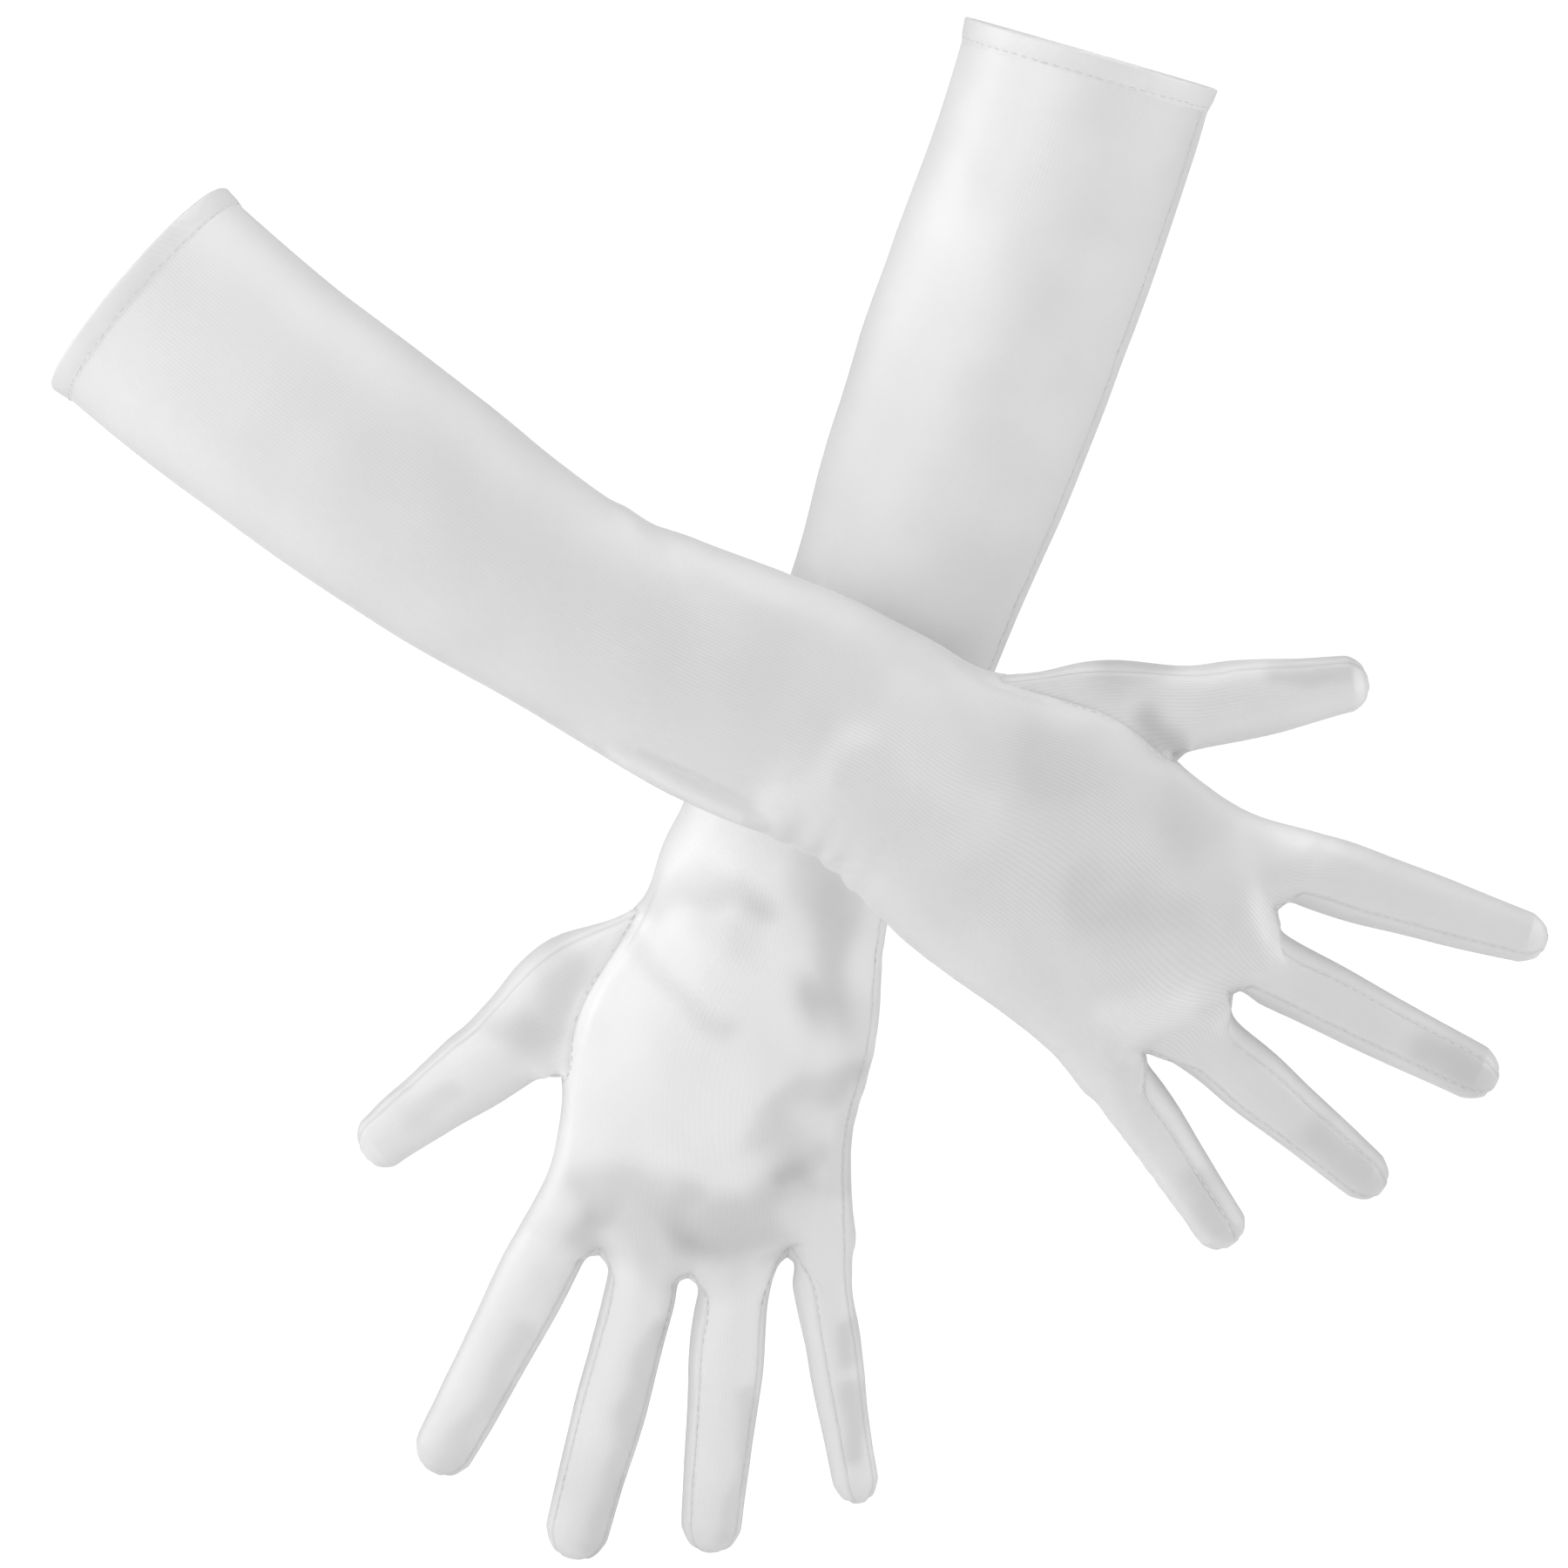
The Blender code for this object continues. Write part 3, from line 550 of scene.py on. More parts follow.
def evaluated_points(obj):
    evaluated = obj.evaluated_get(fresh_graph())
    mesh = evaluated.to_mesh()
    points = np.empty(len(mesh.vertices) * 3)
    mesh.vertices.foreach_get("co", points)
    evaluated.to_mesh_clear()
    return points.reshape(-1, 3)


def read(collection, name, size, kind=float):
    values = np.empty(len(collection) * size, kind)
    collection.foreach_get(name, values)
    return values.reshape(-1, size) if size > 1 else values


def face_normals(points, quads):
    """As long as twice the area of each quad."""
    a, b, c, d = (points[quads[:, corner]] for corner in range(4))
    return np.cross(c - a, d - b)


def vertex_normals(points, quads):
    """Area-weighted normals of a quad mesh."""
    face = face_normals(points, quads)
    normals = np.zeros_like(points)
    for corner in range(4):
        np.add.at(normals, quads[:, corner], face)
    return normals / np.maximum(np.linalg.norm(normals, axis=1), 1e-12)[:, None]


class Waves:
    """Smooth seeded noise over space: a sum of plane waves of about one wavelength."""

    def __init__(self, seed, wavelength, count=14):
        rng = np.random.default_rng(seed)
        directions = rng.normal(size=(count, 3))
        directions /= np.linalg.norm(directions, axis=1)[:, None]
        self.waves = directions * (2 * np.pi / wavelength) * rng.uniform(0.7, 1.35, (count, 1))
        self.phases = rng.uniform(0, 2 * np.pi, count)

    def at(self, points):
        return np.cos(points @ self.waves.T + self.phases).sum(1) / math.sqrt(len(self.phases) / 2)


# A fold is pressed along a line on the back: points (U, W), half width and height
Fold = namedtuple("Fold", "line width height")
FOLDS = {
    "right": [
        Fold([(-34.5, -54), (-33.6, -38), (-32.6, -26), (-31.2, -17)], 1.9, 0.9),
        Fold([(-31.4, -54), (-30.6, -40), (-29.2, -26), (-28.4, -17)], 1.9, -1.7),
        Fold([(-38, -16.5), (-30, -15.5)], 1.7, -0.9),
        Fold([(-27, -16), (-18, -18), (-10, -14)], 4.0, 0.9),
        Fold([(-31, -8), (-22, -10), (-12, -6)], 4.5, -0.9),
        Fold([(24, -92), (18, -86), (14, -78)], 2.2, 0.7),
        Fold([(23, -84), (19, -78), (15, -70), (10, -60)], 2.4, -0.6),
        Fold([(22, -76), (17, -64), (16, -45), (20, -25)], 5.0, 0.8),
        Fold([(10, 20), (0, 34), (-4, 50)], 9.0, 0.5),
        Fold([(26, 62), (12, 70), (-6, 72)], 7.0, -0.6),
    ],
    "left": [
        Fold([(24, 2), (10, 8), (-6, 8), (-16, 4)], 7.0, -0.5),
        Fold([(26, 16), (12, 20), (-4, 22)], 6.0, 0.4),
        Fold([(-14, 6), (-20, 18), (-30, 26)], 6.5, -0.8),
        Fold([(-14, 30), (-24, 36), (-33, 33)], 5.5, 0.7),
        Fold([(-18, 58), (-26, 54), (-34, 46)], 3.5, -0.7),
        Fold([(-14, 72), (-26, 66), (-35, 58)], 3.2, 0.6),
        Fold([(-16, 80), (-28, 74), (-38, 68)], 3.0, -0.6),
        Fold([(28, 78), (10, 82), (-10, 84), (-30, 78)], 9.0, 0.6),
    ],
}
# Small gathers along the little-finger edge: from and to W, wavelength, height
GATHERS = {"right": (-18.0, 30.0, 8.6, 0.42), "left": (6.0, 84.0, 8.3, 0.14)}

# Painted light and shade: soft lighter and darker patches in the cloth's colour where the sheen of the satin
# catches or turns away, and broad ones where a hand or sleeve is lit more or less: points (U, W), half width,
# change of tone
Shade = namedtuple("Shade", "line width amount")
SHADES = {
    "right": [
        Shade([(0, -90), (0, 170)], 80.0, -0.10),
        Shade([(19, 33), (24, 50), (23, 74)], 8.0, -0.07),
        Shade([(-8, 58), (-2, 70), (2, 79)], 8.0, -0.08),
        Shade([(27, 84), (36, 101)], 7.0, 0.07),
        Shade([(-27, 83), (-16, 92)], 5.0, 0.10),
        Shade([(13, -4), (4, 10), (-3, 24)], 9.0, 0.06),
        Shade([(-25, -17), (-14, -11), (1, -10)], 5.0, 0.10),
        Shade([(-34.8, -58), (-33.8, -38), (-32.5, -24)], 1.6, 0.10),
        Shade([(-31.2, -52), (-30.4, -38), (-29.2, -25), (-28.8, -19)], 1.1, -0.05),
        Shade([(48, 36), (53, 42)], 6.0, -0.2),
        Shade([(41, 50), (38, 58)], 4.5, -0.24),
        Shade([(67, 73), (80, 90)], 4.0, -0.16),
        Shade([(-26, 140), (-28, 156)], 5.0, -0.12),
        Shade([(6, 150), (6, 166)], 4.0, -0.12),
        Shade([(-51, 118), (-56, 130)], 4.0, -0.12),
    ],
    "left": [
        Shade([(-66, -240), (-44, -60)], 26.0, -0.11),
        Shade([(-14, -236), (-14, -190)], 13.0, -0.06),
        Shade([(-12, -215), (2, -60), (0, 60), (0, 110)], 40.0, 0.04),
        Shade([(0, 0), (5, 70)], 34.0, 0.04),
        Shade([(4, 40), (6, 62)], 24.0, 0.02),
        Shade([(-20, -3), (-22, 10), (-28, 23), (-21, 26)], 7.0, -0.25),
        Shade([(23, 12), (16, 6), (5, 4), (-5, 6)], 5.0, -0.17),
        Shade([(9, 14), (3, 16)], 4.5, -0.08),
        Shade([(-2, 9), (-3, 14)], 6.5, -0.11),
        Shade([(28, 21), (17, 30), (4, 37), (-2, 38)], 3.2, -0.10),
        Shade([(22, 86), (14, 83), (0, 86), (-9, 90), (-21, 82), (-26, 71)], 7.5, -0.22),
        Shade([(21, 97), (-2, 98), (-28, 90)], 8.0, -0.13),
        Shade([(19, 92), (20, 98)], 4.5, -0.07),
        Shade([(-3, 84), (-6, 96)], 4.5, -0.07),
        Shade([(-17, 63), (-26, 49), (-35, 44)], 4.5, -0.16),
        Shade([(-24, 73), (-32, 64)], 3.0, -0.14),
        Shade([(9, -81), (4, -76)], 3.5, -0.08),
        Shade([(-33, 28), (-37, 51), (-39, 70)], 4.0, -0.09),
        Shade([(-50, 107), (-51, 113)], 3.0, -0.14),
        Shade([(-54, 121), (-57, 136)], 2.8, -0.14),
        Shade([(-2, 118), (0, 141), (1, 160), (3, 176)], 2.8, -0.15),
        Shade([(-28, 128), (-31, 146), (-30, 165)], 2.4, -0.12),
        Shade([(31, 126), (37, 148), (42, 162)], 3.6, -0.10),
        Shade([(43, 31), (41, 48), (50, 52)], 5.5, -0.13),
        Shade([(62, 70), (72, 79)], 4.0, -0.08),
    ],
}
WEAVE_SHOWS = {"right": 1.9, "left": 0.35}  # how strongly; the left hand's sheen hides its weave

# Along a seam: a groove, a low ridge beside it and small puckers, as height, place and width
SEAM_REACH = 6.0
SEAM_GROOVE = (0.22, 0.45)
SEAM_RIDGE = (0.08, 1.3, 0.7)
SEAM_PUCKER = (0.06, 4.2, 2.4)
SLACK = {"right": 0.26, "left": 0.32}  # soft unevenness of the cloth on the hand
SEEDS = {"right": 11, "left": 29}
CREASE_FIT = 0.6  # a face that fits its corners' normals worse than this is creased


def line_distance(flat, line):
    """Distance to a broken line, and how far along it the nearest place is, from 0 to 1."""
    line = np.array(line, float)
    best, share = np.full(len(flat), np.inf), np.zeros(len(flat))
    for number, (start, end) in enumerate(zip(line[:-1], line[1:])):
        step = end - start
        t = np.clip((flat - start) @ step / (step @ step), 0, 1)
        distance = np.linalg.norm(flat - start - t[:, None] * step, axis=1)
        nearer = distance < best
        best[nearer], share[nearer] = distance[nearer], (number + t[nearer]) / (len(line) - 1)
    return best, share


def press_folds(points, normals, side):
    flat = points[:, [0, 2]]
    facing = np.clip(normals[:, 1] * 1.5 + 0.6, 0, 1)
    lift = np.zeros(len(points))
    for fold in FOLDS[side]:
        distance, share = line_distance(flat, fold.line)
        taper = np.sin(np.pi * np.clip(share, 0.06, 0.94)) ** 0.7
        lift += fold.height * np.exp(-((distance / fold.width) ** 2)) * facing * taper
    start, end, wavelength, height = GATHERS[side]
    w = points[:, 2]
    inside = np.clip((w - start) / 6, 0, 1) * np.clip((end - w) / 6, 0, 1)
    edge = np.clip(-normals[:, 0] * 1.5 - 0.45, 0, 1)
    swell = 0.55 + 0.45 * np.sin(w / 6.7 + 1.0)
    wave = (np.sin(2 * np.pi * w / wavelength + 2.1 * np.sin(w / 9.3)) + 0.3 * np.sin(w / 1.1)) * swell
    return lift + height * wave * inside * edge


def paint_light_and_shade(points, normals, side):
    """Painted light and shade: the cloth's colour factor, one with a faint mottle, changed by the soft
    patches.
    """
    flat = points[:, [0, 2]]
    wander = np.stack([Waves(k, 17).at(points) for k in (51, 52)], axis=1)
    facing = np.clip(normals[:, 1] * 2 + 0.4, 0, 1)
    tone = 1 + 0.008 * Waves(53, 26).at(points)
    for shade in SHADES[side]:
        distance, _ = line_distance(flat + wander * min(1.6, shade.width * 0.22), shade.line)
        tone += shade.amount * np.exp(-((distance / shade.width) ** 2.6)) * facing
    return tone


def seam_distance(points, mesh, quads):
    """Distance of every point to the nearest seam, where the cloth coordinates break."""
    cloth = read(mesh.uv_layers["Cloth"].uv, "vector", 2)
    loops = quads.ravel()
    low = np.full((len(points), 2), np.inf)
    high = np.full((len(points), 2), -np.inf)
    np.minimum.at(low, loops, cloth)
    np.maximum.at(high, loops, cloth)
    on_seam = np.nonzero((high - low)[:, 0] > 1.0)[0]
    tree = KDTree(len(on_seam))
    for index in on_seam:
        tree.insert(points[index], index)
    tree.balance()
    distance = np.array([tree.find(point)[2] for point in points])
    return np.minimum(distance, SEAM_REACH)


def relaxed(points, quads, share, rounds):
    """Draws points towards the middle of their neighbours, each by its own share."""
    edges = np.concatenate([quads[:, [corner, (corner + 1) % 4]] for corner in range(4)])
    uses = np.maximum(np.bincount(edges.ravel(), minlength=len(points)), 1)[:, None]
    edges = edges[share[edges].max(1) > 0]
    for _ in range(rounds):
        total = np.zeros_like(points)
        np.add.at(total, edges[:, 0], points[edges[:, 1]])
        np.add.at(total, edges[:, 1], points[edges[:, 0]])
        points = points + (total / uses - points) * share[:, None]
    return points


def eased(points, quads, cage):
    """Relaxes the surface near the crotches, as cloth pulled tight over them is smooth."""
    reach, rounds = CROTCH_EASE
    spots = [cage.points["crotch", number, 0] * (1, 0, 1) for number in range(LITTLE)]
    nearest = np.min([np.linalg.norm(points - spot, axis=1) for spot in spots], axis=0)
    share = np.clip(2 * (1 - nearest / reach), 0, 1) * 0.5
    return relaxed(points, quads, share, rounds)


def uncreased(points, quads):
    """Relaxes the few places where the surface is creased over itself."""
    for _ in range(4):
        normals = vertex_normals(points, quads)
        face = face_normals(points, quads)
        face /= np.maximum(np.linalg.norm(face, axis=1), 1e-12)[:, None]
        fit = np.min([(normals[quads[:, corner]] * face).sum(1) for corner in range(4)], axis=0)
        share = np.zeros(len(points))
        share[quads[fit < CREASE_FIT]] = 0.5
        for _ in range(3):
            share[quads[share[quads].max(1) > 0]] = 0.5
        points = relaxed(points, quads, share, 8)
    return points


def sculpt(points, quads, mesh, side):
    """Presses folds, soft unevenness, seam grooves and puckers into the surface."""
    seed, slack = SEEDS[side], SLACK[side]
    normals = vertex_normals(points, quads)
    seam = seam_distance(points, mesh, quads)
    lift = press_folds(points, normals, side)
    on_hand = np.interp(points[:, 2], [-70, -10, 90, 130], [0.3, 1, 1, 0.4])
    lift += slack * Waves(seed, 36).at(points) * on_hand
    lift += 0.2 * slack * Waves(seed + 1, 15).at(points) * on_hand
    depth, width = SEAM_GROOVE
    lift -= depth * np.exp(-((seam / width) ** 2))
    height, place, width = SEAM_RIDGE
    lift += height * np.exp(-(((seam - place) / width) ** 2))
    height, wavelength, width = SEAM_PUCKER
    lift += height * Waves(seed + 2, wavelength).at(points) * np.exp(-((seam / width) ** 2))
    sculpted = uncreased(points + normals * lift[:, None], quads)
    return sculpted, seam, paint_light_and_shade(points, normals, side)


Skin = namedtuple("Skin", "points normals quads cloth tags pieces seam tone place cage")


def glove_skin(side):
    place = Place(side)
    cage = Cage(side)
    mesh, pieces = subdivided(cage)
    quads = read(mesh.loops, "vertex_index", 1, int).reshape(-1, 4)
    points = eased(read(mesh.vertices, "co", 3), quads, cage)
    points, seam, tone = sculpt(points, quads, mesh, side)
    cloth = read(mesh.uv_layers["Cloth"].uv, "vector", 2).reshape(-1, 4, 2)
    tags = read(mesh.attributes["piece"].data, "value", 1, int)
    bpy.data.meshes.remove(mesh)
    world = place.world(points)
    if place.mirrored:
        quads, cloth = quads[:, ::-1], cloth[:, ::-1]
    normals = vertex_normals(world, quads)
    return Skin(world, normals, quads, cloth, tags, pieces, seam, tone, place, cage)


def cloth_piece(name, skin, chosen, material):
    """Cuts the chosen faces out of the skin as a closed piece of cloth with a thickness."""
    quads, cloth = skin.quads[chosen], skin.cloth[chosen]
    used, compact = np.unique(quads, return_inverse=True)
    quads = compact.reshape(-1, 4)
    count = len(used)
    outer, normals = skin.points[used], skin.normals[used]
    inner = outer - normals * CLOTH * MM
    edges = np.concatenate([quads[:, [0, 1]], quads[:, [1, 2]], quads[:, [2, 3]], quads[:, [3, 0]]])
    sides = np.tile(np.arange(len(quads)), 4)
    corner = np.repeat(np.arange(4), len(quads))
    _, index, uses = np.unique(np.sort(edges, axis=1), axis=0, return_inverse=True, return_counts=True)
    border = uses[index.ravel()] == 1
    rims = np.stack(
        [edges[border, 1], edges[border, 0], edges[border, 0] + count, edges[border, 1] + count], axis=1
    )
    face_of, corner_of = sides[border], corner[border]
    first, second = cloth[face_of, corner_of], cloth[face_of, (corner_of + 1) % 4]
    rim_cloth = np.stack([second, first, first, second], axis=1)
    faces = np.concatenate([quads, quads[:, ::-1] + count, rims])
    mesh = bpy.data.meshes.new(name)
    mesh.from_pydata(np.concatenate([outer, inner]).tolist(), [], faces.tolist())
    layer = mesh.uv_layers.new(name="Cloth")
    layer.uv.foreach_set("vector", np.concatenate([cloth, cloth[:, ::-1], rim_cloth]).ravel())
    weave = WEAVE_SHOWS[skin.place.side]
    look = {"seam": np.tile(skin.seam[used], 2), "tone": np.tile(skin.tone[used], 2), "weave": weave}
    set_look(mesh, look)
    rim_normals = np.cross(
        (outer[edges[border, 1]] - outer[edges[border, 0]]), normals[edges[border, 0]]
    )
    rim_normals /= np.maximum(np.linalg.norm(rim_normals, axis=1), 1e-12)[:, None]
    rim_corners = np.repeat(rim_normals[:, None], 4, 1)
    corners = np.concatenate([normals[quads], -normals[quads[:, ::-1]], rim_corners])
    mesh.shade_smooth()
    mesh.normals_split_custom_set(corners.reshape(-1, 3).tolist())
    mesh.materials.append(material)
    return new_object(name, mesh)


def set_look(mesh, look):
    """Point values that the satin's material reads."""
    for name, values in look.items():
        attribute = mesh.attributes.new(name, "FLOAT", "POINT")
        attribute.data.foreach_set("value", np.broadcast_to(values, len(mesh.vertices)).astype(float))


def new_object(name, data):
    obj = bpy.data.objects.new(name, data)
    bpy.context.scene.collection.objects.link(obj)
    return obj


# Materials


def node(tree, kind, inputs=(), **settings):
    made = tree.nodes.new(kind)
    for key, value in settings.items():
        setattr(made, key, value)
    for key, value in dict(inputs).items():
        if isinstance(value, bpy.types.NodeSocket):
            tree.links.new(value, made.inputs[key])
        else:
            made.inputs[key].default_value = value
    return made


def math_node(tree, operation, *values):
    return node(tree, "ShaderNodeMath", dict(enumerate(values)), operation=operation).outputs[0]


def new_material(name):
    material = bpy.data.materials.new(name)
    material.use_nodes = True
    return material, material.node_tree, material.node_tree.nodes["Principled BSDF"]


def mixed(tree, factor, first, second):
    """A colour between two; a number stands for a grey."""
    greys = [(*(c,) * 3, 1) if isinstance(c, float) else c for c in (first, second)]
    inputs = {"Factor": factor, 6: greys[0], 7: greys[1]}
    return node(tree, "ShaderNodeMix", inputs, data_type="RGBA").outputs[2]


def satin(name, shade, roughness, wale=0.85, wale_depth=0.12):
    """Stretch satin: lengthwise wales, a broad sheen, painted shade at the seams and the patches' painted
    light.
    """
    material, tree, shader = new_material(name)

    def calc(*values):
        return math_node(tree, *values)

    def point_value(name):
        return node(tree, "ShaderNodeAttribute", attribute_name=name).outputs["Fac"]

    cloth = node(tree, "ShaderNodeUVMap", uv_map="Cloth").outputs[0]
    split = node(tree, "ShaderNodeSeparateXYZ", {0: cloth})
    place = node(tree, "ShaderNodeTexCoord").outputs["Object"]
    across, along = split.outputs[0], split.outputs[1]
    wales = calc("SINE", calc("MULTIPLY", across, 2 * math.pi / wale))
    courses = calc("SINE", calc("MULTIPLY", along, 2 * math.pi / 0.45))
    knit = calc("ADD", wales, calc("MULTIPLY", courses, 0.25))
    patches = node(tree, "ShaderNodeTexNoise", {"Vector": place, "Scale": 38.0, "Detail": 3.0}).outputs["Fac"]
    grain = node(tree, "ShaderNodeTexNoise", {"Vector": place, "Scale": 900.0, "Detail": 2.0}).outputs["Fac"]
    weave = point_value("weave")
    shows = calc("MULTIPLY", weave, calc("MULTIPLY_ADD", patches, 1.6, -0.3))
    depth = calc("MULTIPLY", knit, shows)
    # Painted shade of the weave: the colour is a little lighter on each wale and darker between them
    wale_shading = calc("MULTIPLY_ADD", depth, 0.024, 1.0)
    height = calc("ADD", depth, calc("MULTIPLY", grain, 0.8))
    bump = node(tree, "ShaderNodeBump", {"Strength": wale_depth, "Distance": 0.0006, "Height": height})
    seam = point_value("seam")
    # Painted shade: the colour darkens towards each seam, where the cloth is pulled into a groove
    near = calc("POWER", math.e, calc("MULTIPLY", seam, -2.6))
    plain = mixed(tree, patches, shade * 0.975, shade * 1.01)
    seam_shaded = mixed(tree, calc("MULTIPLY", near, 0.42), plain, shade * 0.62)
    rough = calc("MULTIPLY_ADD", patches, 0.10, roughness - 0.05)
    tangent = node(tree, "ShaderNodeTangent", direction_type="UV_MAP", uv_map="Cloth").outputs[0]
    # Painted light and shade: the colour is scaled by each point's painted patches and faint mottle
    tone = point_value("tone")
    tone = calc("MULTIPLY", tone, wale_shading)
    colour_with_painted_light = node(tree, "ShaderNodeVectorMath", {0: seam_shaded, "Scale": tone}, operation="SCALE")
    tree.links.new(colour_with_painted_light.outputs[0], shader.inputs["Base Color"])
    tree.links.new(rough, shader.inputs["Roughness"])
    tree.links.new(bump.outputs[0], shader.inputs["Normal"])
    tree.links.new(tangent, shader.inputs["Tangent"])
    settings = {"Metallic": 0.12, "Anisotropic": 0.35, "Specular IOR Level": 0.5}
    settings |= {"Sheen Weight": 0.15, "Sheen Roughness": 0.35}
    for key, value in settings.items():
        shader.inputs[key].default_value = value
    return material


def thread_material(name, shade):
    """Sewing thread: fine twist across its length."""
    material, tree, shader = new_material(name)
    place = node(tree, "ShaderNodeTexCoord").outputs["Object"]
    twist = node(tree, "ShaderNodeTexWave", {"Vector": place, "Scale": 1400.0, "Distortion": 2.0})
    bump = node(tree, "ShaderNodeBump", {"Strength": 0.3, "Distance": 0.0002, "Height": twist.outputs["Fac"]})
    tint = mixed(tree, twist.outputs["Fac"], shade * 0.9, shade)
    tree.links.new(tint, shader.inputs["Base Color"])
    tree.links.new(bump.outputs[0], shader.inputs["Normal"])
    shader.inputs["Roughness"].default_value = 0.55
    return material


SATIN = satin("glove_satin", 0.86, 0.50)
FOURCHETTE = satin("fourchette_satin", 0.88, 0.52, wale=0.95)
HEM = satin("hem_satin", 0.84, 0.48)
THREAD = thread_material("sewing_thread", 0.86)


# Bodies


def along_axis(skin, finger, at):
    base, forward, _, _, _ = skin.cage.finger_axes(finger)
    return skin.place.world(base + forward * at)


def blend_ends(skin, piece, finger):
    """The two bodies that a finger piece joins, and where its bend starts and ends."""
    side, name = skin.place.side, finger.name
    if piece.startswith(f"{name}_base"):
        number = next(key for key, value in skin.cage.fingers.items() if value is finger)
        base, forward, _, _, _ = skin.cage.finger_axes(finger)
        first = 0 if number == "thumb" else 1
        ring = [skin.cage.points[skin.cage.key(number, first, s)] for s in range(SIDES)]
        start = max((point - base) @ forward for point in ring) + 0.1
        bodies = f"{side}_hand", f"{side}_{name}_base"
        return *bodies, along_axis(skin, finger, start), along_axis(skin, finger, finger.knuckle_at + 9)
    bodies = f"{side}_{name}_base", f"{side}_{name}_tip"
    start, end = finger.bend_at - 8, finger.bend_at + 8
    return *bodies, along_axis(skin, finger, start), along_axis(skin, finger, end)


def replaced(piece):
    """The CAD's names, without the side, for what a cloth piece stands for."""
    if piece in ("sleeve", "hand"):
        return [f"{piece}_panel"]
    if piece == "thumb_base":
        return ["thumb_root", "thumb_base"]
    if "tip" in piece:
        return [] if "fourchette" in piece else [piece.replace("_panel", "")]
    return [piece.replace("_base", "") if "fourchette" in piece else piece]


def attach(obj, skin, piece):
    """Makes a sleeve or gusset piece move with its body; hand and finger pieces keep their place, baked into
    their points.
    """
    side = skin.place.side
    if piece == "sleeve":
        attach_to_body(obj, f"{side}_sleeve")
    elif piece == "hand":
        middle = skin.cage.middle(0)
        start, end = (skin.place.world((middle, 0, w)) for w in WRIST_BLEND)
        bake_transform(obj)
    elif piece.startswith("gusset"):
        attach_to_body(obj, f"{side}_hand")
    else:
        finger = next(f for f in skin.cage.fingers.values() if piece.startswith(f.name))
        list(blend_ends(skin, piece, finger))
        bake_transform(obj)


def build_skin(side):
    skin = glove_skin(side)
    for number, piece in enumerate(skin.pieces):
        between = "fourchette" in piece or "gusset" in piece
        material = FOURCHETTE if between else SATIN
        obj = cloth_piece(f"{side}_{piece}_cloth", skin, skin.tags == number, material)
        attach(obj, skin, piece)
        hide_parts(*[f"{side}_{cad}" for cad in replaced(piece)])
    return skin


# Hem, seam edges and stitches


def ring_mesh(name, rings):
    """A surface through rings of equal count, closed round each ring and along the row."""
    rings = np.array(rings)
    rows, around = rings.shape[:2]
    index = np.arange(rows * around).reshape(rows, around)
    following = np.roll(index, -1, 0)
    quads = np.stack([index, np.roll(index, -1, 1), np.roll(following, -1, 1), following], axis=2)
    mesh = bpy.data.meshes.new(name)
    mesh.from_pydata(rings.reshape(-1, 3).tolist(), [], quads.reshape(-1, 4).tolist())
    return mesh


# Hem profile: how far below the rim, how far out of the skin, all the way round
HEM_PROFILE = [
    (5.9, 0.02), (5.4, 0.10), (4.9, 0.12), (4.2, 0.42), (3.0, 0.60), (1.6, 0.70),
    (0.5, 0.85), (0.05, 0.75), (-0.15, 0.30), (0.0, -0.20), (0.6, -0.62), (2.0, -0.75),
    (4.0, -0.80), (6.4, -0.75), (6.6, -0.45), (6.3, -0.2),
]
HEM_STEPS = 240
HEM_STITCH_DOWN = 5.0


def build_hem(skin):
    cage, place, side = skin.cage, skin.place, skin.place.side
    table = column_angles(HAND_RINGS[0])
    unwrapped = np.append(table, table[0] + 2 * np.pi)
    waves = Waves(5, 9.0)
    rings = []
    for step in range(HEM_STEPS):
        angle = np.interp(step * COLUMNS / HEM_STEPS, np.arange(COLUMNS + 1), unwrapped)
        rim = cage.sleeve_point(cage.length, angle)
        middle, _, _, normal = cage.sleeve_axes(cage.length)
        outward = (rim - middle) / np.linalg.norm(rim - middle)
        pucker = 0.10 * waves.at(rim[None])[0]
        ring = []
        for down, out in HEM_PROFILE:
            point = cage.sleeve_point(min(cage.length, cage.length - down), angle)
            point = point + normal * max(0, -down) + outward * (out + pucker * (1 if down < 4.6 else 0.3))
            ring.append(point)
        rings.append(place.world(ring))
    mesh = ring_mesh(f"{side}_cuff_hem_band", rings)
    finish_mesh(mesh, HEM, place)
    obj = new_object(f"{side}_cuff_hem_band", mesh)
    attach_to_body(obj, f"{side}_sleeve")
    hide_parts(f"{side}_cuff_hem")


def face_outward(mesh):
    bm = bmesh.new()
    bm.from_mesh(mesh)
    bmesh.ops.recalc_face_normals(bm, faces=bm.faces)
    bm.to_mesh(mesh)
    bm.free()


def finish_mesh(mesh, material, place):
    """Faces outward, smooth, with cloth coordinates from its place on the glove."""
    face_outward(mesh)
    local = place.local(read(mesh.vertices, "co", 3))[read(mesh.loops, "vertex_index", 1, int)]
    cloth = np.stack([local[:, 0] + local[:, 1], local[:, 2]], axis=1)
    mesh.uv_layers.new(name="Cloth").uv.foreach_set("vector", cloth.ravel())
    set_look(mesh, {"seam": SEAM_REACH, "tone": 1.0, "weave": 0.5})
    mesh.shade_smooth()
    mesh.materials.append(material)


def surface_tree(skin):
    return BVHTree.FromPolygons(skin.points.tolist(), skin.quads.tolist())


